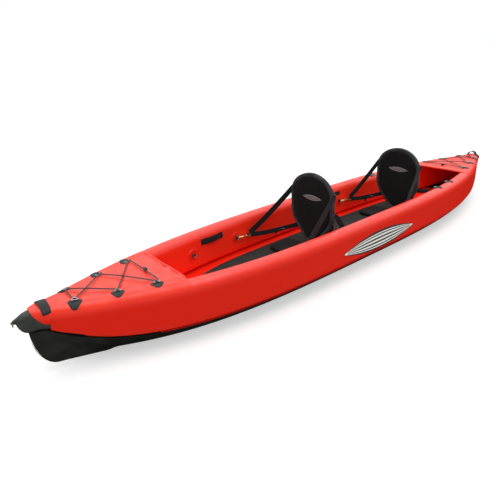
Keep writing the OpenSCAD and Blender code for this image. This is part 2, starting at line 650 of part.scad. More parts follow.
module hook_body() {
    w = strap_w + 6;
    e = -hook_l;
    rod(concat([[nose_x, 0, -hook_r]], [for (a = [-90 : 20 : 90]) [hook_r * cos(a), 0, hook_r * sin(a)]],
        [[gate_pin[0] + 6, 0, hook_r]]), hook_wire_r, [0, 1, 0]);
    difference() {
        translate([gate_pin[0] - 8, -6, -4]) cube([17, 12, 12]);
        translate([gate_pin[0] - 4.5, -3.2, -5]) cube([20, 6.4, 9.9]);
    }
    translate(gate_pin - [0, 5, 0]) rotate([-90, 0, 0]) cylinder(r = gate_pin_r, h = 10);
    translate([e + 18, 0, 1]) rotate([0, 90, 0]) cylinder(r = 2.6, h = gate_pin[0] - e - 25);
    for (x = [e, e + 18]) translate([x, 0, -w / 2]) cylinder(r = hook_bar_r, h = w);
    for (z = [-w / 2, w / 2]) translate([e - hook_bar_r, -hook_bar_r, z - 2]) cube([18 + 2 * hook_bar_r, 2 * hook_bar_r, 4]);
}

module hook_gate() {
    tip = [nose_x - 0.9, 0, -hook_r];
    d = tip - gate_pin;
    difference() {
        union() {
            translate(gate_pin) rotate([90, 0, 0]) cylinder(r = 3.2, h = 5.6, center = true);
            translate(gate_pin) rotate([0, acos(d[2] / norm(d)), 0]) cylinder(r = 1.9, h = norm(d));
        }
        translate(gate_pin) rotate([90, 0, 0]) cylinder(r = gate_pin_r + pin_gap, h = 8, center = true);
    }
}

module seat_hooks() {
    color(brass) for (ax = anchor_x, s = [-1, 1]) hook_place(ax, s) hook_body();
}
module front_port_gate() { color(brass) hook_place(anchor_x[0], 1) hook_gate(); }
module front_starboard_gate() { color(brass) hook_place(anchor_x[0], -1) hook_gate(); }
module rear_port_gate() { color(brass) hook_place(anchor_x[1], 1) hook_gate(); }
module rear_starboard_gate() { color(brass) hook_place(anchor_x[1], -1) hook_gate(); }

module front_adjusters() { strap_adjusters(front_seat_x, anchor_x[0]); }
module rear_adjusters() { strap_adjusters(rear_seat_x, anchor_x[1]); }
module front_seat_base() { seat_base(front_seat_x); }
module front_backrest() { backrest(front_seat_x); }
module front_seat_bag() { seat_bag(front_seat_x); }
module front_buckles() { buckles(front_seat_x); }
module front_port_strap() { front_strap(front_seat_x, anchor_x[0], 1); }
module front_starboard_strap() { front_strap(front_seat_x, anchor_x[0], -1); }
module front_back_straps() {
    x = anchor_x[1];
    z = wall_ring_z + 66;
    back_straps(concat(back_start(front_seat_x, z + 90), [[x + 90, inner_w(x + 90) - 12, z + 6],
        [x + 70, inner_w(x + 70) - 4, z + 2], [x + 50, inner_w(x + 50) - 2.4, z], [x - 10, inner_w(x - 10) - 2.4, z]]));
}
module rear_seat_base() { seat_base(rear_seat_x); }
module rear_backrest() { backrest(rear_seat_x); }
module rear_seat_bag() { seat_bag(rear_seat_x); }
module rear_buckles() { buckles(rear_seat_x); }
module rear_port_strap() { front_strap(rear_seat_x, anchor_x[1], 1); }
module rear_starboard_strap() { front_strap(rear_seat_x, anchor_x[1], -1); }
module rear_back_straps() {
    x = gunwale_x[1];
    back_straps(concat(back_start(rear_seat_x, floor_top + 205), [[x + 6, inner_w(x) - 22, sheer(x) - 40]]));
}

floor_chamber();
port_side_chamber();
starboard_side_chamber();
bow_deck();
stern_deck();
cockpit_coamings();
bow_nose_cone();
stern_nose_cone();
bow_keel_guard();
stern_keel_guard();
floor_mat();
side_badges();
deck_patches();
deck_rings();
gunwale_patches();
gunwale_rings();
wall_patches();
seat_anchor_rings();
port_foot_ring();
starboard_foot_ring();
bow_tip_ring();
stern_tip_ring();
bow_bungee();
stern_bungee();
bungee_toggles();
bow_handle();
stern_handle();
wall_handles();
floor_valve_body();
floor_valve_plunger();
floor_valve_cap();
port_valve_body();
port_valve_plunger();
port_valve_cap();
starboard_valve_body();
starboard_valve_plunger();
starboard_valve_cap();
front_seat_base();
front_backrest();
front_seat_bag();
front_buckles();
front_port_strap();
front_starboard_strap();
front_back_straps();
rear_seat_base();
rear_backrest();
rear_seat_bag();
rear_buckles();
rear_port_strap();
rear_starboard_strap();
rear_back_straps();
front_adjusters();
rear_adjusters();
seat_hooks();
front_port_gate();
front_starboard_gate();
rear_port_gate();
rear_starboard_gate();
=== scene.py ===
import math
import bpy
from mathutils import Matrix, Vector, noise


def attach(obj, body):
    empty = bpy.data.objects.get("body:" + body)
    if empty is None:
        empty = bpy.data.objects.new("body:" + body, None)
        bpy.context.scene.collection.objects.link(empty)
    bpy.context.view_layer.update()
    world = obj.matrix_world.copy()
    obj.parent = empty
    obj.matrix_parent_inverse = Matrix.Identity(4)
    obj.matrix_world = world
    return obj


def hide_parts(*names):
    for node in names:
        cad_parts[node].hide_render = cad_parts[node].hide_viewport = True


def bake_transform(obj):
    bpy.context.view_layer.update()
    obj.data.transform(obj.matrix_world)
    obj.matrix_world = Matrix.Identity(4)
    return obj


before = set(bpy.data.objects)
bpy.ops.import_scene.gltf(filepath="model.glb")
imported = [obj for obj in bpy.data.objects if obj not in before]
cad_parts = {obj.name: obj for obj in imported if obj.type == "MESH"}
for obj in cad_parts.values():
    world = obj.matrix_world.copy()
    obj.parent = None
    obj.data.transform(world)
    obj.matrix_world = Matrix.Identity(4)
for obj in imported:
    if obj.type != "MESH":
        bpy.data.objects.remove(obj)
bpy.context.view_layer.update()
scene = bpy.context.scene
print("frame loaded:", len(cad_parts), "pieces")

# the camera's place and lens
viewPoint = {
    "place": (2.319, 2.000, 1.372),
    "turn": (66.811, 3.012, 140.552),   # degrees, XYZ order
    "lens": 33.22,                      # mm, on a 36 mm sensor
    "shift": (-0.0077, -0.0050),
}
bpy.ops.object.camera_add(location=viewPoint["place"], rotation=[math.radians(a) for a in viewPoint["turn"]])
camera = bpy.context.object
camera.data.lens = viewPoint["lens"]
camera.data.sensor_width = 36
camera.data.shift_x, camera.data.shift_y = viewPoint["shift"]
camera.data.clip_end = 200
scene.camera = camera

studio = {
    "sun": 1.85, "sunSpread": 60, "sunTurn": (8, 0, 150),
    "fill": 0.34,          # even light from all round
    "background": 1.0,
    "overhead": 2.2, "below": 0.0,      # what glossy surfaces mirror, above and below the horizon
    "floorRadius": 60,
}
scene.view_settings.view_transform = "Standard"
bpy.ops.object.light_add(type="SUN", rotation=[math.radians(a) for a in studio["sunTurn"]])
bpy.context.object.data.energy = studio["sun"]
bpy.context.object.data.angle = math.radians(studio["sunSpread"])


def hexColour(code):
    parts = [int(code[i:i + 2], 16) / 255 for i in (1, 3, 5)]
    return [p / 12.92 if p <= 0.04045 else ((p + 0.055) / 1.055) ** 2.4 for p in parts] + [1]


def addNode(tree, kind, settings=None, links=None):
    node = tree.nodes.new("ShaderNode" + kind)
    for key, value in (settings or {}).items():
        if isinstance(key, str) and hasattr(node, key):
            setattr(node, key, value)
        else:
            node.inputs[key].default_value = value
    for key, source in (links or {}).items():
        tree.links.new(source, node.inputs[key])
    return node


world = bpy.data.worlds.new("softStudio")
scene.world = world
world.use_nodes = True
world.node_tree.nodes.clear()
path = addNode(world.node_tree, "LightPath")
toSky = addNode(world.node_tree, "TexCoord").outputs["Generated"]
height = addNode(world.node_tree, "SeparateXYZ", {}, {0: toSky}).outputs[2]
mirrored = addNode(world.node_tree, "MapRange", {1: 0.08, 2: 0.42, 3: studio["below"], 4: studio["overhead"]},
                   {0: height}).outputs[0]
seen = addNode(world.node_tree, "MapRange", {4: studio["background"]},
               {0: path.outputs["Is Camera Ray"], 3: mirrored}).outputs[0]
strength = addNode(world.node_tree, "MapRange", {4: studio["fill"]},
                   {0: path.outputs["Is Diffuse Ray"], 3: seen})
sky = addNode(world.node_tree, "Background", {"Color": (1, 1, 1, 1)}, {"Strength": strength.outputs[0]})
addNode(world.node_tree, "OutputWorld", {}, {0: sky.outputs[0]})


def newMaterial(name, base, roughness, more=None):
    material = bpy.data.materials.new(name)
    material.use_nodes = True
    tree = material.node_tree
    tree.nodes.clear()
    shader = addNode(tree, "BsdfPrincipled", {"Base Color": hexColour(base), "Roughness": roughness,
                                              **(more or {})})
    addNode(tree, "OutputMaterial", {}, {0: shader.outputs[0]})
    return material, tree, shader


waveUnit = 0.314      # a wave texture repeats every waveUnit / scale metres


def makeRedPvc(name, base, dusk, wrinkle, topGloss=0.0):
    # calendered PVC on woven polyester: an even sheen, broken by the faint print of the base cloth
    material, tree, shader = newMaterial(name, base, 0.4, {"IOR": 1.5, "Specular IOR Level": 0.36})
    coords = addNode(tree, "TexCoord").outputs["Object"]
    broad = addNode(tree, "TexNoise", {"Scale": 3.2, "Detail": 2}, {"Vector": coords}).outputs[0]
    shade = addNode(tree, "MapRange", {1: 0.35, 2: 0.7}, {0: broad}).outputs[0]
    tint = addNode(tree, "Mix", {"data_type": "RGBA", 6: hexColour(base), 7: hexColour(dusk)},
                   {0: shade}).outputs[2]
    # painted light and shade: the outside sheet is painted a darker red (painted shade) and the inside sheet a
    # brighter red (painted light), and the top one shines most
    if topGloss:
        face = addNode(tree, "Attribute", {"attribute_name": "sheet"}).outputs["Fac"]
        # this mask picks the inside face, painted a brighter red as painted light
        inner = addNode(tree, "MapRange", {1: 0.5}, {0: face}).outputs[0]
        # this mask picks the outside face, painted a darker red as painted shade
        outsideShadeMask = addNode(tree, "MapRange", {1: 0.5, 2: 0}, {0: face}).outputs[0]
        gloss = addNode(tree, "MapRange", {2: 0.5, 3: 0.08, 4: topGloss}, {0: face}).outputs[0]
        tint = addNode(tree, "Mix", {"data_type": "RGBA", 7: hexColour("#fd2a0c")},
                       {0: inner, 6: tint}).outputs[2]
        tint = addNode(tree, "Mix", {"data_type": "RGBA", 7: hexColour("#c81a06")},
                       {0: outsideShadeMask, 6: tint}).outputs[2]
        tree.links.new(gloss, shader.inputs["Specular IOR Level"])
    scuff = addNode(tree, "TexNoise", {"Scale": 22, "Detail": 4}, {"Vector": coords}).outputs[0]
    rough = addNode(tree, "MapRange", {1: 0.3, 2: 0.7, 3: 0.34, 4: 0.48}, {0: scuff}).outputs[0]
    along = addNode(tree, "Mapping", {"Scale": (0.45, 1, 1)}, {"Vector": coords}).outputs[0]
    folds = addNode(tree, "TexNoise", {"Scale": 9, "Detail": 2}, {"Vector": along}).outputs[0]
    soft = addNode(tree, "Bump", {"Strength": 0.35, "Distance": 0.004 * wrinkle}, {"Height": folds}).outputs[0]
    # the cloth's print is under 1 mm; drawn at 2.4 mm
    cloth = addNode(tree, "TexNoise", {"Scale": 420, "Detail": 2}, {"Vector": coords}).outputs[0]
    fine = addNode(tree, "Bump", {"Strength": 0.35, "Distance": 0.0003},
                   {"Height": cloth, "Normal": soft}).outputs[0]
    tree.links.new(tint, shader.inputs["Base Color"])
    tree.links.new(rough, shader.inputs["Roughness"])
    tree.links.new(fine, shader.inputs["Normal"])
    return material


def makeBlackPvc(name, base, lift, roughness):
    # moulded or coated black PVC: satin, slightly dusty on the flats
    material, tree, shader = newMaterial(name, base, roughness, {"IOR": 1.5, "Specular IOR Level": 0.22})
    coords = addNode(tree, "TexCoord").outputs["Object"]
    cloud = addNode(tree, "TexNoise", {"Scale": 14, "Detail": 5}, {"Vector": coords}).outputs[0]
    dust = addNode(tree, "MapRange", {1: 0.42, 2: 0.72}, {0: cloud}).outputs[0]
    tint = addNode(tree, "Mix", {"data_type": "RGBA", 6: hexColour(base), 7: hexColour(lift)},
                   {0: dust}).outputs[2]
    scuff = addNode(tree, "TexNoise", {"Scale": 60, "Detail": 3}, {"Vector": coords}).outputs[0]
    rough = addNode(tree, "MapRange", {1: 0.3, 2: 0.7, 3: roughness - 0.07, 4: roughness + 0.09},
                    {0: scuff}).outputs[0]
    skin = addNode(tree, "TexNoise", {"Scale": 520, "Detail": 2}, {"Vector": coords}).outputs[0]
    bump = addNode(tree, "Bump", {"Strength": 0.4, "Distance": 0.0004}, {"Height": skin}).outputs[0]
    tree.links.new(tint, shader.inputs["Base Color"])
    tree.links.new(rough, shader.inputs["Roughness"])
    tree.links.new(bump, shader.inputs["Normal"])
    return material


def makeMatFoam():
    # EVA foam sheet: matt, closed cells show as a fine mottle, with pressed grooves along it
    material, tree, shader = newMaterial("evaFoam", "#232a27", 0.82, {"IOR": 1.45, "Specular IOR Level": 0.3})
    coords = addNode(tree, "TexCoord").outputs["Object"]
    cells = addNode(tree, "TexVoronoi", {"Scale": 260.0}, {"Vector": coords}).outputs["Distance"]
    cloud = addNode(tree, "TexNoise", {"Scale": 30, "Detail": 5}, {"Vector": coords}).outputs[0]
    mottle = addNode(tree, "MapRange", {1: 0.4, 2: 0.68}, {0: cloud}).outputs[0]
    tint = addNode(tree, "Mix", {"data_type": "RGBA", 6: hexColour("#1c1e1c"), 7: hexColour("#2c2f2d")},
                   {0: mottle}).outputs[2]
    pits = addNode(tree, "MapRange", {2: 0.6, 4: 0.5}, {0: cells}).outputs[0]
    tint = addNode(tree, "Mix", {"data_type": "RGBA", 7: hexColour("#131514")}, {0: pits, 6: tint}).outputs[2]
    grooves = addNode(tree, "TexWave", {"bands_direction": "Y", "Scale": waveUnit / 0.012},
                      {"Vector": coords}).outputs["Fac"]
    ridge = addNode(tree, "Bump", {"Strength": 0.5, "Distance": 0.0008}, {"Height": grooves}).outputs[0]
    bump = addNode(tree, "Bump", {"Strength": 0.5, "Distance": 0.0005},
                   {"Height": cells, "Normal": ridge}).outputs[0]
    tree.links.new(tint, shader.inputs["Base Color"])
    tree.links.new(bump, shader.inputs["Normal"])
    return material


def makeWebbing():
    # woven polyester: rows of cord across the strap, 2 mm apart, drawn at 4 mm to show
    base, lift = "#101112", "#1f2122"
    material, tree, shader = newMaterial("polyesterWebbing", base, 0.62,
                                         {"Sheen Weight": 0.06, "Sheen Roughness": 0.4,
                                          "Specular IOR Level": 0.25})
    places = addNode(tree, "TexCoord")
    strip = places.outputs["UV"]
    rows = addNode(tree, "TexWave", {"bands_direction": "Y", "Scale": waveUnit / 0.004},
                   {"Vector": strip}).outputs["Fac"]
    lines = addNode(tree, "TexWave", {"bands_direction": "X", "Scale": waveUnit / 0.0045},
                    {"Vector": strip}).outputs["Fac"]
    weave = addNode(tree, "Math", {"operation": "MULTIPLY"}, {0: rows, 1: lines}).outputs[0]
    cloud = addNode(tree, "TexNoise", {"Scale": 40, "Detail": 4},
                    {"Vector": places.outputs["Object"]}).outputs[0]
    worn = addNode(tree, "MapRange", {1: 0.4, 2: 0.75, 4: 0.8}, {0: cloud}).outputs[0]
    tint = addNode(tree, "Mix", {"data_type": "RGBA", 6: hexColour(base), 7: hexColour(lift)},
                   {0: worn}).outputs[2]
    bump = addNode(tree, "Bump", {"Strength": 0.7, "Distance": 0.0007}, {"Height": weave}).outputs[0]
    tree.links.new(tint, shader.inputs["Base Color"])
    tree.links.new(bump, shader.inputs["Normal"])
    return material


def makeSeatFabric(name, base, lift, spacing):
    # nylon over foam: plain weave, almost black, a soft sheen at its edges
    material, tree, shader = newMaterial(name, base, 0.78,
                                         {"Sheen Weight": 0.04, "Sheen Roughness": 0.4,
                                          "Specular IOR Level": 0.15})
    coords = addNode(tree, "TexCoord").outputs["Object"]
    over = addNode(tree, "TexWave", {"bands_direction": "Y", "Scale": waveUnit / spacing},
                   {"Vector": coords}).outputs["Fac"]
    under = addNode(tree, "TexWave", {"bands_direction": "Z", "Scale": waveUnit / spacing},
                    {"Vector": coords}).outputs["Fac"]
    weave = addNode(tree, "Math", {"operation": "MULTIPLY"}, {0: over, 1: under}).outputs[0]
    cloud = addNode(tree, "TexNoise", {"Scale": 16, "Detail": 4}, {"Vector": coords}).outputs[0]
    worn = addNode(tree, "MapRange", {1: 0.4, 2: 0.75}, {0: cloud}).outputs[0]
    tint = addNode(tree, "Mix", {"data_type": "RGBA", 6: hexColour(base), 7: hexColour(lift)},
                   {0: worn}).outputs[2]
    creases = addNode(tree, "TexNoise", {"Scale": 18, "Detail": 2}, {"Vector": coords}).outputs[0]
    folds = addNode(tree, "Bump", {"Strength": 0.3, "Distance": 0.006}, {"Height": creases}).outputs[0]
    bump = addNode(tree, "Bump", {"Strength": 0.6, "Distance": 0.0006},
                   {"Height": weave, "Normal": folds}).outputs[0]
    tree.links.new(tint, shader.inputs["Base Color"])
    tree.links.new(bump, shader.inputs["Normal"])
    return material


def makeSteel(name, base, roughness):
    # bent stainless rod: bright, with fine draw marks
    material, tree, shader = newMaterial(name, base, roughness, {"Metallic": 1.0})
    coords = addNode(tree, "TexCoord").outputs["Object"]
    marks = addNode(tree, "TexNoise", {"Scale": 700, "Detail": 3}, {"Vector": coords}).outputs[0]
    rough = addNode(tree, "MapRange", {1: 0.3, 2: 0.7, 3: roughness - 0.06, 4: roughness + 0.1},
                    {0: marks}).outputs[0]
    tree.links.new(rough, shader.inputs["Roughness"])
    return material


def makeBrass():
    # cast brass: warm, dulled in its corners
    base, dull = "#d9bb80", "#a98650"
    material, tree, shader = newMaterial("castBrass", base, 0.3, {"Metallic": 1.0})
    coords = addNode(tree, "TexCoord").outputs["Object"]
    cloud = addNode(tree, "TexNoise", {"Scale": 120, "Detail": 4}, {"Vector": coords}).outputs[0]
    tarnish = addNode(tree, "MapRange", {1: 0.45, 2: 0.75}, {0: cloud}).outputs[0]
    tint = addNode(tree, "Mix", {"data_type": "RGBA", 6: hexColour(base), 7: hexColour(dull)},
                   {0: tarnish}).outputs[2]
    skin = addNode(tree, "TexNoise", {"Scale": 300, "Detail": 3}, {"Vector": coords}).outputs[0]
    rough = addNode(tree, "MapRange", {1: 0.3, 2: 0.7, 3: 0.24, 4: 0.42}, {0: skin}).outputs[0]
    tree.links.new(tint, shader.inputs["Base Color"])
    tree.links.new(rough, shader.inputs["Roughness"])
    return material


def makePlastic(name, base, lift, roughness):
    # moulded acetal: satin with a fine spark texture
    material, tree, shader = newMaterial(name, base, roughness, {"IOR": 1.48})
    coords = addNode(tree, "TexCoord").outputs["Object"]
    cloud = addNode(tree, "TexNoise", {"Scale": 90, "Detail": 3}, {"Vector": coords}).outputs[0]
    flow = addNode(tree, "MapRange", {1: 0.4, 2: 0.7}, {0: cloud}).outputs[0]
    tint = addNode(tree, "Mix", {"data_type": "RGBA", 6: hexColour(base), 7: hexColour(lift)},
                   {0: flow}).outputs[2]
    spark = addNode(tree, "TexNoise", {"Scale": 900, "Detail": 2}, {"Vector": coords}).outputs[0]
    bump = addNode(tree, "Bump", {"Strength": 0.5, "Distance": 0.0002}, {"Height": spark}).outputs[0]
    tree.links.new(tint, shader.inputs["Base Color"])
    tree.links.new(bump, shader.inputs["Normal"])
    return material


def makeCordMaterial():
    # braided shock cord: black sleeve with dark red tracer threads, crossing every 5 mm
    material, tree, shader = newMaterial("shockCordBraid", "#1a1416", 0.6,
                                         {"Sheen Weight": 0.2, "Specular IOR Level": 0.4})
    coords = addNode(tree, "TexCoord").outputs["UV"]
    threads = []
    for turn in (40, -40):
        turned = addNode(tree, "Mapping", {"Rotation": (0, 0, math.radians(turn))},
                         {"Vector": coords}).outputs[0]
        wave = addNode(tree, "TexWave", {"bands_direction": "X", "Scale": waveUnit / 0.005}, {"Vector": turned})
        threads.append(wave.outputs["Fac"])
    braid = addNode(tree, "Math", {"operation": "MULTIPLY"}, {0: threads[0], 1: threads[1]}).outputs[0]
    tracer = addNode(tree, "MapRange", {1: 0.5, 2: 0.9, 4: 0.7}, {0: braid}).outputs[0]
    tint = addNode(tree, "Mix", {"data_type": "RGBA", 6: hexColour("#171214"), 7: hexColour("#5a1d1c")},
                   {0: tracer}).outputs[2]
    bump = addNode(tree, "Bump", {"Strength": 0.7, "Distance": 0.0006}, {"Height": braid}).outputs[0]
    tree.links.new(tint, shader.inputs["Base Color"])
    tree.links.new(bump, shader.inputs["Normal"])
    return material


def makeBadge(name, ink, paper):
    # printed vinyl: a bordered lens with plain straight bars along it, under a clear film
    material, tree, shader = newMaterial(name, paper, 0.4, {"Coat Weight": 0.3, "Coat Roughness": 0.15})
    places = addNode(tree, "TexCoord")
    # U runs along the lens from -1 to 1, V across it
    axes = addNode(tree, "SeparateXYZ", {}, {0: places.outputs["UV"]})
    across = addNode(tree, "Math", {"operation": "ABSOLUTE"}, {0: axes.outputs[1]}).outputs[0]
    length = addNode(tree, "Math", {"operation": "ABSOLUTE"}, {0: axes.outputs[0]}).outputs[0]
    waves = addNode(tree, "TexWave", {"bands_direction": "Y", "Scale": 0.785},
                    {"Vector": places.outputs["UV"]}).outputs["Fac"]
    bars = addNode(tree, "Math", {"operation": "GREATER_THAN", 1: 0.5}, {0: waves}).outputs[0]
    inside = addNode(tree, "Math", {"operation": "LESS_THAN", 1: 0.64}, {0: across}).outputs[0]
    ends = addNode(tree, "Math", {"operation": "LESS_THAN", 1: 0.90}, {0: length}).outputs[0]
    within = addNode(tree, "Math", {"operation": "MULTIPLY"}, {0: inside, 1: ends}).outputs[0]
    shown = addNode(tree, "Math", {"operation": "MULTIPLY"}, {0: bars, 1: within}).outputs[0]
    rim = addNode(tree, "Math", {"operation": "GREATER_THAN", 1: 0.76}, {0: across}).outputs[0]
    point = addNode(tree, "Math", {"operation": "GREATER_THAN", 1: 0.965}, {0: length}).outputs[0]
    border = addNode(tree, "Math", {"operation": "MAXIMUM"}, {0: rim, 1: point}).outputs[0]
    printed = addNode(tree, "Mix", {"data_type": "RGBA", 6: hexColour(paper), 7: hexColour(ink)},
                      {0: shown}).outputs[2]
    tint = addNode(tree, "Mix", {"data_type": "RGBA", 7: hexColour(ink)}, {0: border, 6: printed}).outputs[2]
    film = addNode(tree, "TexNoise", {"Scale": 80, "Detail": 3},
                   {"Vector": places.outputs["Object"]}).outputs[0]
    rough = addNode(tree, "MapRange", {1: 0.3, 2: 0.7, 3: 0.34, 4: 0.5}, {0: film}).outputs[0]
    tree.links.new(tint, shader.inputs["Base Color"])
    tree.links.new(rough, shader.inputs["Roughness"])
    return material


def makeFloorMaterial():
    # studio floor: matt white acrylic, lit a little from below
    material, tree, shader = newMaterial("studioFloor", "#d0d0d0", 0.9, {
        "Specular IOR Level": 0.1, "Emission Color": (1, 1, 1, 1), "Emission Strength": 0.5})
    coords = addNode(tree, "TexCoord").outputs["Object"]
    cloud = addNode(tree, "TexNoise", {"Scale": 2, "Detail": 3}, {"Vector": coords}).outputs[0]
    tint = addNode(tree, "Mix", {"data_type": "RGBA", 6: hexColour("#cecece"), 7: hexColour("#d2d2d2")},
                   {0: cloud}).outputs[2]
    tree.links.new(tint, shader.inputs["Base Color"])
    return material


wallPvc = makeRedPvc("reinforcedPvcWall", "#ea290c", "#e12308", 0.6, 0.65)
floorTopPvc = makeRedPvc("reinforcedPvcFloorTop", "#f82710", "#ee230d", 0.6)
deckPvc = makeRedPvc("reinforcedPvcDeck", "#ee300f", "#e4280a", 1.6, 0.45)
floorPvc = makeBlackPvc("reinforcedPvcFloor", "#1b1c19", "#262722", 0.5)
noseRubber = makeBlackPvc("mouldedNosePvc", "#2c2e2a", "#3c3e39", 0.46)
patchPvc = makeBlackPvc("weldedPatchPvc", "#181b1c", "#26292a", 0.6)
matFoam = makeMatFoam()
webbingCloth = makeWebbing()
seatFabric = makeSeatFabric("coatedNylon", "#080808", "#0e0f10", 0.005)
bindingTape = makeSeatFabric("bindingTape", "#2a2d2f", "#43474a", 0.004)
ringSteel = makeSteel("stainlessRing", "#7d8285", 0.36)
tipCoated = makeSteel("coatedTipRing", "#5c6259", 0.42)
hookBrass = makeBrass()
fittingPlastic = makePlastic("acetalBuckle", "#17191b", "#24272a", 0.4)
valvePlastic = makePlastic("valvePlastic", "#1e2021", "#2e3133", 0.42)
plungerPlastic = makePlastic("plungerPlastic", "#8f9392", "#a7abaa", 0.45)
cordBraid = makeCordMaterial()
badgeFilm = makeBadge("printedVinyl", "#2b2d2f", "#dedcd6")
seatMark = makeBadge("wovenLabel", "#8b8e90", "#17181a")
print("materials made")

bpy.ops.object.select_all(action="DESELECT")
bpy.ops.mesh.primitive_circle_add(vertices=96, radius=studio["floorRadius"], fill_type="NGON",
                                  location=(0, 0, -0.0006))
floorDisc = bpy.context.object
floorDisc.name = "studio_floor"
floorDisc.data.transform(floorDisc.matrix_world)
floorDisc.matrix_world = Matrix.Identity(4)
floorDisc.data.materials.append(makeFloorMaterial())
floorDisc.visible_glossy = False      # a dark gloss would mirror the white floor


def settle(piece, name, material, body="hull", stands=(), angle=35):
    bpy.ops.object.select_all(action="DESELECT")
    piece.select_set(True)
    bpy.context.view_layer.objects.active = piece
    piece.name = name
    piece.data.name = name
    bpy.ops.object.transform_apply(location=True, rotation=True, scale=True)
    bpy.ops.object.shade_smooth_by_angle(angle=math.radians(angle))
    piece.data.materials.clear()
    for one in material if isinstance(material, (list, tuple)) else [material]:
        piece.data.materials.append(one)
    if stands:
        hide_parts(*stands)
    if body:
        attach(piece, body)
    return piece


def tidyMesh(piece, close=False, merge=0.00002):
    bpy.ops.object.select_all(action="DESELECT")
    piece.select_set(True)
    bpy.context.view_layer.objects.active = piece
    bpy.ops.object.mode_set(mode="EDIT")
    bpy.ops.mesh.select_all(action="SELECT")
    bpy.ops.mesh.remove_doubles(threshold=merge)
    if close:
        bpy.ops.mesh.fill_holes(sides=0)
        bpy.ops.mesh.select_all(action="SELECT")
    bpy.ops.mesh.normals_make_consistent(inside=False)
    bpy.ops.object.mode_set(mode="OBJECT")
    return piece


def shapedGrid(across, along, place, uvPlace=None, close=False, merge=0.00002):
    bpy.ops.object.select_all(action="DESELECT")
    bpy.ops.mesh.primitive_grid_add(x_subdivisions=across, y_subdivisions=along, size=1)
    piece = bpy.context.object
    mesh = piece.data
    spots = [(v.co.x + 0.5, v.co.y + 0.5) for v in mesh.vertices]
    if uvPlace:
        layer = mesh.uv_layers[0].data
        for loop in mesh.loops:
            layer[loop.index].uv = uvPlace(*spots[loop.vertex_index])
    for v, (a, b) in zip(mesh.vertices, spots):
        v.co = place(a, b)
    return tidyMesh(piece, close, merge)


def joined(parts):
    bpy.ops.object.select_all(action="DESELECT")
    for part in parts:
        part.select_set(True)
    bpy.context.view_layer.objects.active = parts[0]
    if len(parts) > 1:
        bpy.ops.object.join()
    return bpy.context.view_layer.objects.active


def softBlock(size, bevel, segments):      # a block at the origin with rounded edges
    bpy.ops.object.select_all(action="DESELECT")
    bpy.ops.mesh.primitive_cube_add(size=1)
    block = bpy.context.object
    block.scale = size
    bpy.ops.object.transform_apply(scale=True)
    return applied(block, "BEVEL", width=bevel, segments=segments)


def copyOf(piece, matrix=None):
    twin = piece.copy()
    twin.data = piece.data.copy()
    scene.collection.objects.link(twin)
    if matrix is not None:
        twin.data.transform(matrix)
        if matrix.determinant() < 0:
            twin.data.flip_normals()
    return twin


def applied(piece, kind, **settings):
    bpy.ops.object.select_all(action="DESELECT")
    piece.select_set(True)
    bpy.context.view_layer.objects.active = piece
    modifier = piece.modifiers.new(kind.lower(), kind)
    for key, value in settings.items():
        setattr(modifier, key, value)
    bpy.ops.object.modifier_apply(modifier=modifier.name)
    return piece


mirrorY = Matrix.Diagonal((1, -1, 1, 1))


# a smooth line through the points, at even steps of its parameter
def curveThrough(points, count, loop=False):
    points = [Vector(p) for p in points]
    n = len(points)
    spans = n if loop else n - 1
    out = []
    for i in range(count if loop else count + 1):
        t = i * spans / count
        k = min(int(t), spans - 1)
        t -= k
        if loop:
            a, b, c, d = (points[(k + j) % n] for j in (-1, 0, 1, 2))
        else:
            b, c = points[k], points[k + 1]
            a = points[k - 1] if k > 0 else b * 2 - c
            d = points[k + 2] if k + 2 < n else c * 2 - b
        out.append(0.5 * (2 * b + (c - a) * t + (2 * a - 5 * b + 4 * c - d) * t ** 2
                          + (3 * b - a - 3 * c + d) * t ** 3))
    return out


def ease(t):
    t = min(max(t, 0), 1)
    return t * t * (3 - 2 * t)


# the lines of the hull, in metres, which every piece on it follows
hull = {
    "half": 2.086, "beam": 0.772, "wall": 0.102, "sideHeight": 0.243, "bowRise": 0.027, "sternRise": 0.010,
    "riseAt": 2.100, "coneAt": 1.956, "coneZ": 0.256, "coneLength": 0.130, "floor": 0.100, "footAt": 1.930,
    "keelAt": 1.713,
    "footLong": 0.111, "footHigh": 0.191, "cockpit": 1.343, "deck": 0.003,
}


def halfWidth(x):
    return hull["beam"] / 2 * (1 - min(abs(x) / hull["half"], 1) ** 3.414) ** 1.136


def sheer(x):
    rise = hull["bowRise"] if x > 0 else hull["sternRise"]
    return hull["floor"] + hull["sideHeight"] + rise * (abs(x) / hull["riseAt"]) ** 3.156


def chine(x):
    return hull["floor"] + 0.146 * (abs(x) / hull["coneAt"]) ** (8.9 if x > 0 else 14)


def innerWidth(x):
    return max(halfWidth(x) - hull["wall"], 0.00015)


def rollRadius(x):
    return min(hull["wall"], halfWidth(x)) / 2


def keelLine(x):
    a = abs(x)
    if a < hull["keelAt"]:
        return 0
    if a < hull["footAt"]:
        return (a - hull["keelAt"]) * 0.226
    past = min(a - hull["footAt"], hull["footLong"]) / hull["footLong"]
    return hull["footHigh"] + 0.049 - hull["footHigh"] * math.sqrt(max(0, 1 - past ** 2))


def wallTurn(x):
    return math.atan((innerWidth(x - 0.005) - innerWidth(x + 0.005)) / 0.01)


def wallGap(x):
    return 0.00035 + 0.66 * (2 * innerWidth(x) - innerWidth(x - 0.06) - innerWidth(x + 0.06))


def rippleAt(x, z, seed, size=6.0):
    return noise.noise(Vector((x * size, z * size * 1.4, seed)))


# "around" and "along" are the steps of the grid, "flat" and "crease" the unevenness of the cloth
wallShape = {"around": 56, "along": 190, "flat": 0.0007, "crease": 0.0016}


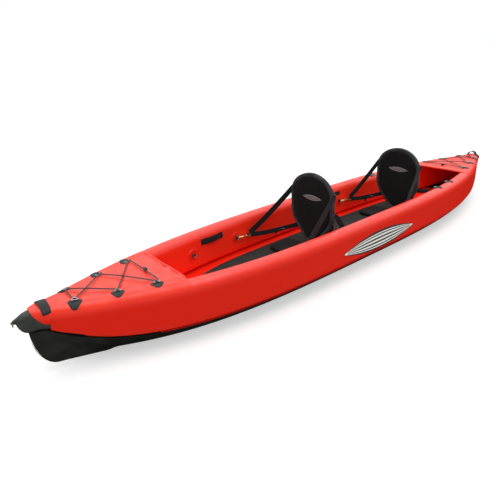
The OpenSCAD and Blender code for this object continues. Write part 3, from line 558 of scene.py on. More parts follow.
def wallSection(x, u):      # u runs up the outside, over the top, down the inside and under
    out, inner, top, low = halfWidth(x), innerWidth(x), sheer(x), chine(x)
    r = min(out - inner, top - low) / 2 - 0.0001
    part, t = int(u * 4) % 4, (u * 4) % 1
    if u >= 1:
        part, t = 0, 0
    side = top - low - 2 * r
    if part == 0:
        return out, low + r + side * t
    if part == 2:
        return inner, top - r - side * t
    a = math.pi * t
    if part == 1:
        return out - r + r * math.cos(a), top - r + r * math.sin(a)
    return inner + r - r * math.cos(a), low + r - r * math.sin(a)


def wallPlace(u, v):
    end = hull["coneAt"] - 0.0003
    x = -end + 2 * end * v
    y, z = wallSection(x, u)
    calm = ease((end - abs(x)) / 0.3)
    if 0.02 < u < 0.23:
        y += wallShape["flat"] * rippleAt(x, z, 1.5) * calm
    if 0.52 < u < 0.73:
        y += wallShape["flat"] * rippleAt(x, z, 7.5) * calm
        near = math.exp(-((x + 0.62) / 0.42) ** 2) + 0.35 * math.exp(-((x - 0.35) / 0.4) ** 2)
        y += wallShape["crease"] * near * calm * noise.noise(Vector((x * 26, z * 3.5, 3.1)))
    return x, y, z


valveShape = {"sideX": -1.280, "sideZ": 0.215, "floorX": -1.240, "bore": 0.0173}


def sideValvePlace():
    x = valveShape["sideX"]
    t = wallTurn(x)
    out = Vector((-math.sin(t), -math.cos(t), 0))
    return Vector((x, innerWidth(x) - wallGap(x), valveShape["sideZ"])), out


def boreOut(piece, centre, axis, radius, depth):
    bpy.ops.object.select_all(action="DESELECT")
    bpy.ops.mesh.primitive_cylinder_add(vertices=48, radius=radius, depth=depth, location=centre,
                                        rotation=axis.to_track_quat("Z", "Y").to_euler())
    cutter = bpy.context.object
    applied(piece, "BOOLEAN", operation="DIFFERENCE", object=cutter, solver="EXACT")
    bpy.data.objects.remove(cutter, do_unlink=True)
    return piece


portWall = shapedGrid(wallShape["around"], wallShape["along"], wallPlace, close=True)
valveSpot, valveAxis = sideValvePlace()
boreOut(portWall, valveSpot, valveAxis, valveShape["bore"], 0.07)
# sheet is 0 on the outside face, 0.5 over the top and 1 on the inside face; it sets the painted shade outside,
# the painted light inside, and the gloss
sheetShadeAndGloss = portWall.data.attributes.new("sheet", "FLOAT", "POINT")
for v, tone in zip(portWall.data.vertices, sheetShadeAndGloss.data):
    x = v.co.x
    across = (halfWidth(x) - v.co.y) / max(halfWidth(x) - innerWidth(x), 0.001)
    tone.value = 0.5 + (ease(across) - 0.5) * ease((sheer(x) - v.co.z) / 0.07)
starboardWall = copyOf(portWall, mirrorY)
settle(portWall, "port_wall", wallPvc, "hull", ["port_side_chamber"])
settle(starboardWall, "starboard_wall", wallPvc, "hull", ["starboard_side_chamber"])
print("walls made")

floorShape = {"along": 170, "bilge": 16, "top": 12}


def floorSection(x, count):
    a = abs(x)
    zc = min(chine(x), hull["coneZ"]) - 0.0003
    zk = keelLine(x)
    edge = halfWidth(x) - 0.024 * min(1, halfWidth(x) / 0.150)
    atFoot = halfWidth(hull["footAt"])
    atFoot -= 0.024 * min(1, atFoot / 0.150)
    yc = edge
    if a >= hull["footAt"]:
        yc = min(edge, atFoot * math.sqrt(max(0, 1 - ((a - hull["footAt"]) / hull["footLong"]) ** 2)) + 0.003)
    yb = max(yc - 0.112 * (zc - zk) / hull["floor"], min(0.25 * yc, 0.012))
    p, b, e = Vector((yc, zc, 0)), Vector((yb, zk, 0)), Vector((yb * 0.7, zk, 0))
    m = p.lerp(b, 0.72)
    line = [p, p.lerp(b, 0.36) + Vector((0.02 * yc, 0, 0)), m, 0.56 * m + 0.38 * b + 0.06 * e,
            0.25 * m + 0.5 * b + 0.25 * e,
            0.06 * m + 0.38 * b + 0.56 * e, e]
    return curveThrough(line, count)


floorLast = hull["footAt"] + hull["footLong"] - 0.001


def floorPlace(u, v):
    x = (2 * v - 1) * floorLast
    x = math.copysign(floorLast * (1 - (1 - abs(x) / floorLast) ** 1.25), x)      # closer rings at the ends
    n, m = floorShape["bilge"], floorShape["top"]
    total = 2 * n + 2 * m
    i = round(u * total) % total
    line = floorSections.setdefault(round(x, 6), floorSection(x, n))
    if i <= n:
        y, z = line[i].x, line[i].y
    elif i <= n + m:
        y, z = line[n].x * (1 - 2 * (i - n) / m), line[n].y
    elif i <= 2 * n + m:
        q = line[2 * n + m - i]
        y, z = -q.x, q.y
    else:
        k = (i - 2 * n - m) / m
        y, z = line[0].x * (2 * k - 1), line[0].y
    return x, y, z


floorSections = {}
floorBody = shapedGrid(2 * floorShape["bilge"] + 2 * floorShape["top"], floorShape["along"], floorPlace,
                       close=True)
boreOut(floorBody, Vector((valveShape["floorX"], 0, 0.09)), Vector((0, 0, 1)), valveShape["bore"], 0.05)
settle(floorBody, "floor_body", [floorPvc, floorTopPvc], "hull", ["floor_chamber"])
for face in floorBody.data.polygons:
    face.material_index = 1 if face.normal.z > 0.9 and face.center.z > 0.09 and abs(face.center.x) < 1.5 else 0
print("floor made")

# "edgeTurn" is how far a deck turns down over the gunwale, in degrees, and "lobeDrop" how deep its
# lobe hangs at the cone
deckShape = {"across": 60, "along": 64, "edgeTurn": 62, "lobeDrop": 0.074, "tip": 2.019, "lobeX": 1.972,
             "thick": 0.0029}


def coneRing(d, x):          # d runs from 0 at a nose cone's root to its tip
    t = d / hull["coneLength"]
    w = max(halfWidth(min(hull["coneAt"] + d, hull["half"] - 0.060)) - 0.0003, 0.001)
    w *= math.sqrt(max(1 - (max(t - 0.35, 0) / 1.1) ** 2, 0))
    k = 1 + (sheer(x) - sheer(hull["coneAt"])) / (sheer(hull["coneAt"]) - hull["coneZ"])
    top = hull["coneZ"] + (sheer(hull["coneAt"]) - 0.022 * t ** 3 - hull["coneZ"]) * k
    low = hull["coneZ"] + 0.006 * (max(t - 0.5, 0) / 0.5) ** 1.5
    return w, low, top, min(w * 0.5, (top - low) / 2 - 0.0005)


def overTop(x, s, h):      # s runs outboard from where the gunwale starts to turn down
    a = abs(x)
    if a > hull["coneAt"]:
        w, _, top, r = coneRing(a - hull["coneAt"], math.copysign(hull["coneAt"], x))
    else:
        w, top, r = halfWidth(x), sheer(x), rollRadius(x)
    if s < 0:
        return Vector((x, w - r + s, top + h))
    turn = s / r
    if turn < math.pi / 2:
        return Vector((x, w - r + (r + h) * math.sin(turn), top - r + (r + h) * math.cos(turn)))
    return Vector((x, w + h, top - r - (s - r * math.pi / 2)))


def flatHalf(x):
    a = abs(x)
    if a > hull["coneAt"]:
        w, _, _, r = coneRing(a - hull["coneAt"], math.copysign(hull["coneAt"], x))
        return w - r, r
    return halfWidth(x) - rollRadius(x), rollRadius(x)


def deckWrinkle(x, y):
    near = math.exp(-(abs(x) - hull["cockpit"]) / 0.10)
    fan = noise.noise(Vector((abs(x) * 9, y * 24, 2.0 if x > 0 else 5.0)))
    long = noise.noise(Vector((abs(x) * 5, y * 9, 4.0)))
    return 0.0060 * near * fan + 0.0014 * long


def makeDeck(sign):
    edge = deckShape["edgeTurn"]

    def place(u, v):
        q = abs(2 * u - 1)
        end = deckShape["tip"] - (deckShape["tip"] - deckShape["lobeX"]) * q ** 2.6
        start = hull["cockpit"] - 0.002 + 0.004 * math.sin(9 * q + 1) * (1 - q)
        row = min(v / 0.985, 1)
        x = sign * (start + (end - start) * row)
        a = abs(x)
        flat, r = flatHalf(x)
        reach = r * math.radians(edge)
        reach += (r * math.pi / 2 + deckShape["lobeDrop"] - r - reach) * ease((a - 1.925) / 0.035)
        s = -flat + (flat + reach) * q
        h = deckShape["thick"]
        rim = ease((q - 0.80) / 0.2) * (1 - ease((a - 1.948) / 0.014))
        h = h * (1 - rim) + 0.0002 * rim
        if q >= 0.999 or v >= 0.999:
            h = 0.0001
        elif a > 1.948:
            bead = max(ease((q - 0.70) / 0.15), ease((row - 0.88) / 0.07))
            fall = max(ease((q - 0.93) / 0.06), ease((row - 0.96) / 0.04))
            h += 0.0022 * bead * (1 - 0.8 * fall)
        p = overTop(x, s, h)
        if s < 0:
            slack = ease(-s / 0.05)
            p.z += deckWrinkle(x, p.y * (1 if u > 0.5 else -1)) * slack * ease((1.9 - a) / 0.2)
        if u < 0.5:
            p.y = -p.y
        return p

    parts = [shapedGrid(deckShape["across"], deckShape["along"], place)]

    # the rolled edge at the cockpit
    x0 = hull["cockpit"] - 0.0073
    wide = halfWidth(x0) - rollRadius(x0) - 0.006

    def hem(u, v):
        y = wide * (2 * v - 1)
        out = abs(2 * v - 1)
        r = 0.0071 * (1 - 0.75 * ease((out - 0.82) / 0.18))
        lift = 0.0012 * noise.noise(Vector((y * 14, 1.7, sign))) - 0.003 * ease((out - 0.8) / 0.2)
        back = 0.0022 * noise.noise(Vector((y * 11, 8.7, sign)))
        a = 2 * math.pi * u
        return Vector((sign * (x0 + back + r * math.cos(a)), y,
                       sheer(x0 * sign) + 0.0015 + lift + r * math.sin(a)))

    parts.append(shapedGrid(16, 72, hem, close=True))
    return joined(parts)


def shadeDeckEdges(deck):      # the decks' turned-down edges take the walls' darker outside red, which is painted shade, and less gloss
    edgeShadeTones = deck.data.attributes.new("sheet", "FLOAT", "POINT")
    for v, tone in zip(deck.data.vertices, edgeShadeTones.data):
        side = ease((abs(v.co.y) - halfWidth(v.co.x) * 0.5) / 0.02)
        tone.value = 0.5 - 0.5 * side * ease((sheer(v.co.x) - v.co.z) / 0.07)


bowDeck = makeDeck(1)
shadeDeckEdges(bowDeck)
settle(bowDeck, "bow_deck_sheet", deckPvc, "hull", ["bow_deck", "cockpit_coamings"], 50)
sternDeck = makeDeck(-1)
shadeDeckEdges(sternDeck)
settle(sternDeck, "stern_deck_sheet", deckPvc, "hull", ["stern_deck", "cockpit_coamings"], 50)
print("decks made")

coneShape = {"around": 48, "along": 40, "long": 0.125, "straight": 0.078, "eyeOut": 2.094, "eyeDrop": 0.036}


def makeCone(sign):
    def place(u, v):
        d = coneShape["long"] * (1 - (1 - v) ** 1.6)
        w, low, top, r = coneRing(d, sign * hull["coneAt"])
        t = d / hull["coneLength"]
        bend = max(d - coneShape["straight"], 0) / (coneShape["long"] - coneShape["straight"])
        dome = math.sqrt(max(1 - bend ** 2.3, 0))
        middle = (top + low) / 2 * dome + (1 - dome) * (sheer(sign * hull["coneAt"]) - coneShape["eyeDrop"])
        w, top, low = w * (0.15 + 0.85 * dome), middle + (top - low) / 2 * dome, middle - (top - low) / 2 * dome
        r = min(w * (0.5 + 0.44 * ease(t / 0.4)), (top - low) / 2 - 0.0005)
        w, r = max(w, 0.0015), max(r, 0.0007)
        corner, k = int(u * 4) % 4, (u * 4) % 1
        cy, cz = w - r, (top - r if corner < 2 else low + r)
        a = math.pi / 2 * (corner + k)
        if v >= 0.999:
            cy = 0.0
        side = 1 if corner in (0, 3) else -1
        return Vector((sign * (hull["coneAt"] + d), side * cy + r * math.cos(a), cz + r * math.sin(a)))

    body = shapedGrid(coneShape["around"], coneShape["along"], place, close=True)
    eye = sign * coneShape["eyeOut"], 0, sheer(sign * hull["coneAt"]) - coneShape["eyeDrop"]
    bpy.ops.object.select_all(action="DESELECT")
    bpy.ops.mesh.primitive_torus_add(major_segments=32, minor_segments=14, major_radius=0.0043,
                                     minor_radius=0.0017, location=eye,
                                     rotation=(math.pi / 2, 0, 0))
    ring = bpy.context.object
    ring.scale = (1, 1, 1.45)
    bpy.ops.object.transform_apply(location=True, rotation=True, scale=True)
    bpy.ops.object.select_all(action="DESELECT")
    def neckPlace(u, v):      # ribbed lug that carries the eye
        a = 2 * math.pi * u
        r = 0.0200 - 0.0100 * v ** 0.8 + 0.0012 * math.sin(v * math.pi * 9)
        return Vector((eye[0] - sign * (0.036 - 0.0325 * v), 0.8 * r * math.cos(a),
                       eye[2] + 0.004 * (1 - v) + r * math.sin(a)))

    neck = shapedGrid(28, 40, neckPlace, close=True)
    return joined([body, ring, neck])


for label, sign in (("bow", 1), ("stern", -1)):
    cone = makeCone(sign)
    settle(cone, label + "_cone", noseRubber, "hull", [label + "_nose_cone"], 40)


def guardPlace(sign):
    def place(u, v):
        a = math.radians(12 + 66 * v)
        base = Vector((sign * (hull["footAt"] + hull["footLong"] * math.sin(a)), 0,
                       hull["footHigh"] + 0.049 - hull["footHigh"] * math.cos(a)))
        out = Vector((sign * math.sin(a) / hull["footLong"], 0, -math.cos(a) / hull["footHigh"])).normalized()
        turn = 2 * math.pi * u
        taper = math.sin(math.pi * min(max(v, 0.02), 0.98)) ** 0.25
        return base + out * (0.0022 + 0.0015 * math.sin(turn)
                             * taper) + Vector((0, 0.008 * math.cos(turn) * taper, 0))
    return place


footPatch = {"from": 1.831, "to": 1.9552, "rise": 0.018, "thick": 0.0011}


def footPatchPlace(sign):
    def place(u, v):
        x = footPatch["from"] + (footPatch["to"] - footPatch["from"]) * u
        e = (x - footPatch["from"]) / 0.012
        roundEnd = math.sqrt(max(0.0, 1 - (1 - min(e, 1)) ** 2))
        z0, r = chine(sign * x), rollRadius(x)
        rise = footPatch["rise"] * (1 - 0.45 * ease((x - 1.85) / 0.09)) * (0.55 + 0.45 * roundEnd)
        zTop = z0 + rise
        aTop = math.asin(min(max((zTop - z0 - r) / r, -1), 1))
        aLow = math.radians(-88)
        a = aLow + (aTop - aLow) * v
        h = footPatch["thick"] if 0 < u < 1 and v < 0.97 else 0.0001
        return Vector((sign * x, halfWidth(x) - r + (r + h) * math.cos(a), z0 + r + (r + h) * math.sin(a)))
    return place


for label, sign in (("bow", 1), ("stern", -1)):
    strip = shapedGrid(14, 28, guardPlace(sign), close=True)
    settle(strip, label + "_rub_strip", noseRubber, "hull", [label + "_keel_guard"])
    one = shapedGrid(26, 20, footPatchPlace(sign))
    two = copyOf(one, mirrorY)
    settle(joined([one, two]), label + "_forefoot_patch", floorPvc, "hull", [], 60)
print("noses made")

matShape = {"from": -1.150, "to": 1.000, "thick": 0.005, "margin": 0.045, "soft": 0.0018}


def matHalf(x):
    return halfWidth(x) - hull["wall"] - matShape["margin"] - (((x - 0.7) / 0.06) ** 2 * 0.001 if x > 0.7
                                                               else 0)


def matPlace(u, v):
    x = matShape["from"] + (matShape["to"] - matShape["from"]) * v
    soft, thick, base = matShape["soft"], matShape["thick"], hull["floor"] + 0.0002
    n = 40
    i = round(u * n)
    ends = min(v, 1 - v)
    inset = 0 if ends > 0.001 else 1
    half = matHalf(x)
    if i == 0 or i == n:
        return Vector((x, (half - 0.0004) * (1 if i else -1), base))
    if i == 1 or i == n - 1:
        return Vector((x, half * (1 if i > 1 else -1), base + (thick - soft) * (1 - inset)))
    y = (half - soft) * (2 * (i - 2) / (n - 4) - 1)
    # where its panels meet
    seam = sum(0.0012 * math.exp(-((x - c) / 0.0035) ** 2) for c in (-0.60, -0.05, 0.50))
    return Vector((x, y, base + (thick - seam) * (1 - inset)))


mat = shapedGrid(40, 240, matPlace)
settle(mat, "cockpit_mat", matFoam, "hull", ["floor_mat"])

badgeShape = {"half": 0.372, "height": 0.064, "x": -0.032, "z": 0.195, "proud": 0.0016}


def outerFace(x, z, h):
    r, low, top = rollRadius(x), chine(x), sheer(x)
    y = halfWidth(x)
    for centre, below in ((low + r, True), (top - r, False)):
        if (z < centre) == below and (z > centre) != below:
            a = math.asin(min(max((z - centre) / r, -1), 1))
            return Vector((x, y - r + (r + h) * math.cos(a), centre + (r + h) * math.sin(a)))
    return Vector((x, y + h, z))


def badgePlace(u, v):
    a, b = 2 * u - 1, 2 * v - 1
    x = badgeShape["x"] - badgeShape["half"] * a
    tall = badgeShape["height"] * (1 - abs(a) ** 2.05)
    h = badgeShape["proud"] if abs(b) < 0.999 else 0.0009
    return outerFace(x, badgeShape["z"] + tall * b, h)


badge = shapedGrid(72, 22, badgePlace, lambda u, v: (2 * u - 1, 2 * v - 1), merge=0.000005)
badgeTwin = copyOf(badge, mirrorY)
settle(joined([badge, badgeTwin]), "side_lens_badges", badgeFilm, "hull", ["side_badges"], 60)
print("mat and badges made")

# a welded patch is a shield, and its ring's bar lies "barAt" outboard of the ring's middle
patchShape = {"wide": 0.066, "long": 0.056, "thick": 0.0023, "in": 0.006, "barAt": 0.016}
deckRingSpots = [(1.827, 0.056), (1.644, 0.107), (1.465, 0.155)]
shieldOutline = [(0, 0.30), (0.08, 0.44), (0.22, 0.50), (0.42, 0.46), (0.62, 0.36), (0.80, 0.27),
                 (0.93, 0.18), (1.0, 0.08)]


def shieldHalf(t):
    for (a, w0), (b, w1) in zip(shieldOutline, shieldOutline[1:]):
        if t <= b:
            return w0 + (w1 - w0) * ease((t - a) / (b - a))
    return shieldOutline[-1][1]


def rimPlace(x, s, h, deck):      # a place on the gunwale or deck, s outboard of the start of the turn-down
    if deck or s > 0:
        return overTop(x, s, h)
    r = rollRadius(x)
    a = s / r
    return Vector((x, halfWidth(x) - r + (r + h) * math.sin(a), sheer(x) - r + (r + h) * math.cos(a)))


def rimPatch(x0, s0, side, lift, deck):
    wide, long = patchShape["wide"], patchShape["long"]
    t = wallTurn(x0)

    def onRim(a, b, h):      # a along the rim, b outboard of the ring, square to the rim
        p = rimPlace(x0 + a * math.cos(t) + b * math.sin(t), s0 + b / math.cos(t), h, deck)
        p.y *= side
        return p

    def place(u, v):
        rim = 1.0 if 0 < u < 1 and 0 < v < 1 else 0.0
        notch = 0.004 * math.exp(-((u - 0.5) / 0.10) ** 2) * (1 - v)
        return onRim((2 * u - 1) * wide * shieldHalf(v), patchShape["in"] + notch + long * v,
                     lift + patchShape["thick"] * rim)

    def loop(u, v):      # the webbing that holds the ring's bar
        b = patchShape["barAt"] - 0.0085 + 0.017 * v
        hump = 0.0064 * math.cos(math.pi * (v - 0.5)) ** 0.7
        wrap = 2 * math.pi * u
        return onRim(0.0088 * math.cos(wrap), b, lift + patchShape["thick"] + hump + 0.0005 * math.sin(wrap))

    return [shapedGrid(22, 16, place), shapedGrid(14, 12, loop, close=True)]


deckPatches = []
for end in (1, -1):
    for x, y in deckRingSpots:
        for side in (1, -1):
            r = rollRadius(x)
            deckPatches += rimPatch(end * x, y - (halfWidth(x) - r), side, hull["deck"] + 0.0002, True)
patches = joined(deckPatches)
tidyMesh(patches, merge=0.000001)
settle(patches, "deck_ring_patches", patchPvc, "hull", ["deck_patches"], 50)

gunwalePatches = []
for x in (-1.030, -0.838):
    for side in (1, -1):
        s = -rollRadius(x) * math.radians(18) - 0.026
        gunwalePatches += rimPatch(x, s, side, 0.0002, False)
patches = joined(gunwalePatches)
tidyMesh(patches, merge=0.000001)
settle(patches, "gunwale_ring_patches", patchPvc, "hull", ["gunwale_patches"], 50)

wallDisc = {"radius": 0.034, "thick": 0.0025, "z": 0.221, "stand": 0.0125}


def wallPatchAt(x0, side):
    def place(u, v):
        r = wallDisc["radius"] * (1 - v)
        a = 2 * math.pi * u
        bead = 0.0010 * math.exp(-((v - 0.10) / 0.05) ** 2) - 0.0004 * math.exp(-((v - 0.22) / 0.05) ** 2)
        h = wallDisc["thick"] + bead if v > 0.001 else -0.0003
        x, z = x0 + r * math.cos(a), wallDisc["z"] + r * math.sin(a)
        return Vector((x, side * (innerWidth(x) - h - 0.0003), z))
    return shapedGrid(56, 14, place, close=True)


def keeperAt(x0, side, upright):
    t = wallTurn(x0)
    h = wallDisc["stand"] + 0.0045
    long, deep = (0.009, 0.020) if upright else (0.020, 0.009)
    block = softBlock((long, deep, h), 0.0022, 4)
    place = Vector((x0, side * (innerWidth(x0) - wallGap(x0)), wallDisc["z"]))
    out = Vector((-math.sin(t), -side * math.cos(t), 0))
    turn = out.to_track_quat("Z", "Y").to_matrix().to_4x4()
    block.data.transform(Matrix.Translation(place + out * (wallDisc["thick"] + h / 2)) @ turn)
    return block


wallPieces, keepers = [], []
for side in (1, -1):
    for x in (0.652, -0.395, 1.010, -0.940):
        wallPieces.append(wallPatchAt(x, side))
        if x > -0.9:
            keepers.append(keeperAt(x, side, x != 1.010))
discs = joined(wallPieces)
settle(discs, "wall_ring_patches", floorTopPvc, "hull", ["wall_patches"], 50)
settle(joined(keepers), "wall_ring_keepers", webbingCloth, "hull", ["wall_patches"], 50)
print("patches made")

cordShape = {"radius": 0.003, "around": 10, "steps": 6}
cordTurns = [      # mm: along, across and up from the deck, where it passes the rings
    [(1472, -147, 8)], [(1636, 101, 8), (1644, 109, 7), (1652, 101, 8)],
    [(1818, -51, 8), (1827, -58, 7), (1835, -49, 8)],
    [(1835, 49, 8), (1827, 58, 7), (1818, 51, 8)], [(1652, -101, 8), (1644, -109, 7), (1636, -101, 8)],
    [(1472, 147, 8), (1462, 157, 7), (1450, 143, 8)], [(1450, -143, 8), (1462, -157, 7)]]
# on the way to the next turn: how far along, and up from the deck; one cord passes over the other at 13 mm
cordLifts = [
    [(0.2, 9.5), (0.58, 7), (0.85, 9.5)], [(0.25, 10), (0.71, 13), (0.9, 11)], [(0.5, 9)],
    [(0.29, 7), (0.6, 9), (0.85, 9.6)],
    [(0.15, 10.5), (0.418, 13), (0.75, 10.5)], [(0.15, 9.6), (0.5, 9.3), (0.85, 9.6)], []]


def cordPoints():
    out = []
    for k, turn in enumerate(cordTurns):
        out += [Vector(p) for p in turn]
        a, b = Vector(turn[-1]), Vector(cordTurns[(k + 1) % len(cordTurns)][0])
        out += [Vector((*a.lerp(b, t).xy, lift)) for t, lift in cordLifts[k]]
    return out


def tubeAlong(points, radius, around, loop):
    n = len(points)
    length = [0]
    for i in range(n):
        length.append(length[-1] + (points[(i + 1) % n] - points[i]).length)

    def place(u, v):
        i = round(v * (n if loop else n - 1)) % n
        if loop or 0 < i < n - 1:
            d = (points[(i + 1) % n] - points[i - 1]).normalized()
        else:
            d = (points[min(i + 1, n - 1)] - points[max(i - 1, 0)]).normalized()
        side = Vector((0, 0, 1)).cross(d).normalized()
        up = d.cross(side)
        a = 2 * math.pi * u
        return points[i] + radius * (math.cos(a) * side + math.sin(a) * up)

    steps = n if loop else n - 1
    return shapedGrid(around, steps, place, lambda u, v: (2 * math.pi * radius * u, length[round(v * steps)]),
                      close=not loop)


for label, sign in (("bow", 1), ("stern", -1)):
    route = []
    for x, y, h in cordPoints():
        x, y = sign * x / 1000, sign * y / 1000
        route.append(Vector((x, y, sheer(x) + hull["deck"] + h / 1000)))
    line = curveThrough(route, len(route) * cordShape["steps"], loop=True)
    cordPiece = tubeAlong(line, cordShape["radius"], cordShape["around"], True)
    settle(cordPiece, label + "_deck_cord", cordBraid, "hull", [label + "_bungee"], 60)

toggleShape = {"x": 1.444, "radius": 0.009, "long": 0.022, "groove": 0.0011, "neck": 0.0034}
toggles = []
for sign in (1, -1):
    z = sheer(sign * toggleShape["x"]) + hull["deck"] + 0.0093

    def barrel(u, v):
        a = 2 * math.pi * u
        t = 2 * v - 1
        y = toggleShape["long"] / 2 * min(max(t / 0.8, -1), 1)
        r = toggleShape["radius"] * (1 - 0.10 * t
                                     * t) - toggleShape["groove"] * (0.5 + 0.5
                                                                     * math.cos(t * 22)) * (abs(t) < 0.75)
        if abs(t) > 0.8:
            r = toggleShape["neck"] + (r
                                       - toggleShape["neck"]) * math.sqrt(max(0,
                                                                              1 - ((abs(t) - 0.8) / 0.2) ** 2))
        return Vector((sign * toggleShape["x"] + r * math.cos(a), y, z + r * math.sin(a)))

    toggles.append(shapedGrid(24, 40, barrel, close=True))
settle(joined(toggles), "cord_toggles", fittingPlastic, "hull", ["bungee_toggles"], 40)

handleShape = {"x": 1.958, "wide": 0.042, "thick": 0.0032, "arch": 0.026}


# a flat woven band with soft edges, along a smooth line
def bandAlong(points, sideAt, wide, thick, steps=6):
    line = curveThrough(points, steps * (len(points) - 1))
    n = len(line) - 1
    length = [0]
    for i in range(n):
        length.append(length[-1] + (line[i + 1] - line[i]).length)

    def place(u, v):
        i = round(v * n)
        d = (line[min(i + 1, n)] - line[max(i - 1, 0)]).normalized()
        side = Vector(sideAt(v) if callable(sideAt) else sideAt)
        side = (side - side.dot(d) * d).normalized()
        up = d.cross(side)
        a = 2 * math.pi * u
        c, s = math.cos(a), math.sin(a)
        flat = math.copysign(abs(c) ** 0.35, c)
        high = math.copysign(abs(s) ** 0.6, s)
        return line[i] + side * (wide / 2 * flat) + up * (thick / 2 * high * (1 - 0.25 * abs(flat) ** 6))

    around = 20
    return shapedGrid(around, n, place, lambda u, v: (abs(u - 0.5) * 2 * wide, length[round(v * n)]),
                      close=True, merge=0.000005)


def handleLine(x, h):
    r0 = rollRadius(x)
    r, yc, zc = r0 + hull["deck"] + 0.0009 + h, halfWidth(x) - r0, sheer(x) - r0
    feet = [(yc + r * math.sin(math.radians(a)), zc + r * math.cos(math.radians(a))) for a in (66, 54, 42)]
    arch = [((yc + 0.008) * math.sin(math.radians(a)) * 0.9, zc + r + handleShape["arch"]
             * math.cos(math.radians(a)) + 0.002)
            for a in (90, 67.5, 45, 22.5, 0)]
    half = [Vector((x, y, z)) for y, z in feet + arch]
    return half + [Vector((x, -p.y, p.z)) for p in reversed(half[:-1])]


def flatHandle(x):      # the bow's lies low, with its cut ends on the gunwales
    r0 = rollRadius(x)
    flat, top = halfWidth(x) - r0, sheer(x) + hull["deck"]
    half = []
    for turn in (80, 60):
        a = math.radians(turn)
        half.append(Vector((x, flat + (r0 + 0.005) * math.sin(a), top - r0 + (r0 + 0.005) * math.cos(a))))
    half += [Vector((x, flat * k, top + h)) for k, h in ((1.2, 0.0055), (0.6, 0.0125), (0, 0.0155))]
    return half + [Vector((x, -p.y, p.z)) for p in reversed(half[:-1])]


for label, sign in (("bow", 1), ("stern", -1)):
    x = sign * handleShape["x"]
    slope = (sheer(x + 0.01) - sheer(x - 0.01)) / 0.02
    line = flatHandle(x) if sign > 0 else handleLine(x, handleShape["thick"] / 2)
    band = bandAlong(line, (1, 0, slope), handleShape["wide"], handleShape["thick"], steps=5)
    settle(band, label + "_carry_handle", webbingCloth, "hull", [label + "_handle"], 60)

wallHandle = {"x": 0.850, "z": 0.278, "long": 0.175, "wide": 0.041, "thick": 0.003}
handles = []
for side in (1, -1):
    half = wallHandle["long"] / 2
    spots = []
    for along, out in ((-half, 0.9), (-half + 0.020, 1.1), (-half + 0.040, 5), (-0.030, 9), (0, 10),
                       (0.030, 9), (half - 0.040, 5),
                       (half - 0.020, 1.1), (half, 0.9)):
        x = wallHandle["x"] + along
        spots.append(Vector((x, side * (innerWidth(x) - 0.0018 - out / 1000), wallHandle["z"])))
    handles.append(bandAlong(spots, (0, 0, 1), wallHandle["wide"], wallHandle["thick"]))
settle(joined(handles), "cockpit_wall_handles", webbingCloth, "hull", ["wall_handles"], 60)
print("cords and handles made")

# where each seat's fold is, and the ring that its front straps hook to
seatPlan = {"front": (0.205, 0.652), "rear": (-0.760, -0.395)}
backShape = {"high": 0.480, "half": 0.182, "mid": 0.172, "arc": 0.150, "foot": 0.132,
             "thick": 0.030, "band": 0.020}
baseShape = {"long": 0.235, "wide": 0.380, "thick": 0.030}


def backHalf(z):      # half the width of a backrest at z above its foot
    top = backShape["high"] - backShape["arc"]
    if z < backShape["mid"]:
        return backShape["half"] * (max(z, 0) / backShape["mid"]) ** 0.625
    if z < top:
        return backShape["half"]
    return backShape["half"] * math.sqrt(max(0, 1 - ((z - top) / backShape["arc"]) ** 2))


puffing = {"frames": 20, "quality": 4, "stiffness": 18}      # the cloth simulation that fills the pads


# blows a closed shape up with cloth, each point moving no further than cap
def puffed(piece, voxel, pressure, cap):
    applied(piece, "REMESH", mode="VOXEL", voxel_size=voxel)
    before = [v.co.copy() for v in piece.data.vertices]
    cloth = piece.modifiers.new("cloth", "CLOTH")
    cloth.settings.use_pressure = True
    cloth.settings.uniform_pressure_force = pressure
    cloth.settings.effector_weights.gravity = 0
    cloth.settings.quality = puffing["quality"]
    cloth.settings.tension_stiffness = puffing["stiffness"]
    cloth.settings.compression_stiffness = puffing["stiffness"]
    cloth.point_cache.frame_start, cloth.point_cache.frame_end = 1, puffing["frames"]
    for number in range(1, puffing["frames"] + 1):
        scene.frame_set(number)
    shape = piece.evaluated_get(bpy.context.evaluated_depsgraph_get())
    after = [v.co.copy() for v in shape.data.vertices]
    piece.modifiers.remove(cloth)
    scene.frame_set(1)
    for v, a, b in zip(piece.data.vertices, before, after):
        move = b - a
        v.co = a + move * min(1, cap / max(move.length, 1e-9))
    return piece


def makeBackPad():      # at the origin: x forward, z up from its foot
    high = backShape["high"]

    def place(u, v):
        z = high * (0.5 - 0.5 * math.cos(math.pi * v))
        z = min(max(z, 0.0008), high - 0.0005)
        half = max(backHalf(z) - 0.003, 0.0012)
        a = 2 * math.pi * u
        c, s = math.cos(a), math.sin(a)
        out = math.copysign(abs(c) ** 0.55, c)
        edge = min(z / 0.05, (high - z) / 0.03, 1)
        deep = (0.0075 + 0.0045 * (1 - abs(out) ** 3)) * (0.5 + 0.5 * ease(edge))
        return Vector((deep * math.copysign(abs(s) ** 0.5, s), half * out, z))

    pad = shapedGrid(48, 60, place, close=True)
    return puffed(pad, 0.006, 3.0, 0.006)


def makeBasePad():
    long, wide, thick = baseShape["long"], baseShape["wide"], baseShape["thick"]

    def place(u, v):
        a = 2 * math.pi * u
        c, s = math.cos(a), math.sin(a)
        k = (abs(c) ** 7 + abs(s) ** 7) ** (-1 / 7)
        inset = 0.004
        level = (v - 0.5) * 2      # the sides rise over the middle 0.4 of it, then the faces close inwards
        z = thick / 2 + (thick / 2 - 0.0045) * math.copysign(min(abs(level) / 0.4, 1), level)
        shrink = 1 if abs(level) <= 0.4 else 1 - ((abs(level) - 0.4) / 0.6)
        pull = 1 - 0.03 * min(abs(level) / 0.4, 1) ** 4
        x = long / 2 * (1 + k * c * shrink * pull) - inset * k * c * shrink
        return Vector((x, (wide / 2 - inset) * k * s * shrink * pull, z))

    pad = shapedGrid(96, 40, place, close=True)
    return puffed(pad, 0.0055, 4.0, 0.006)


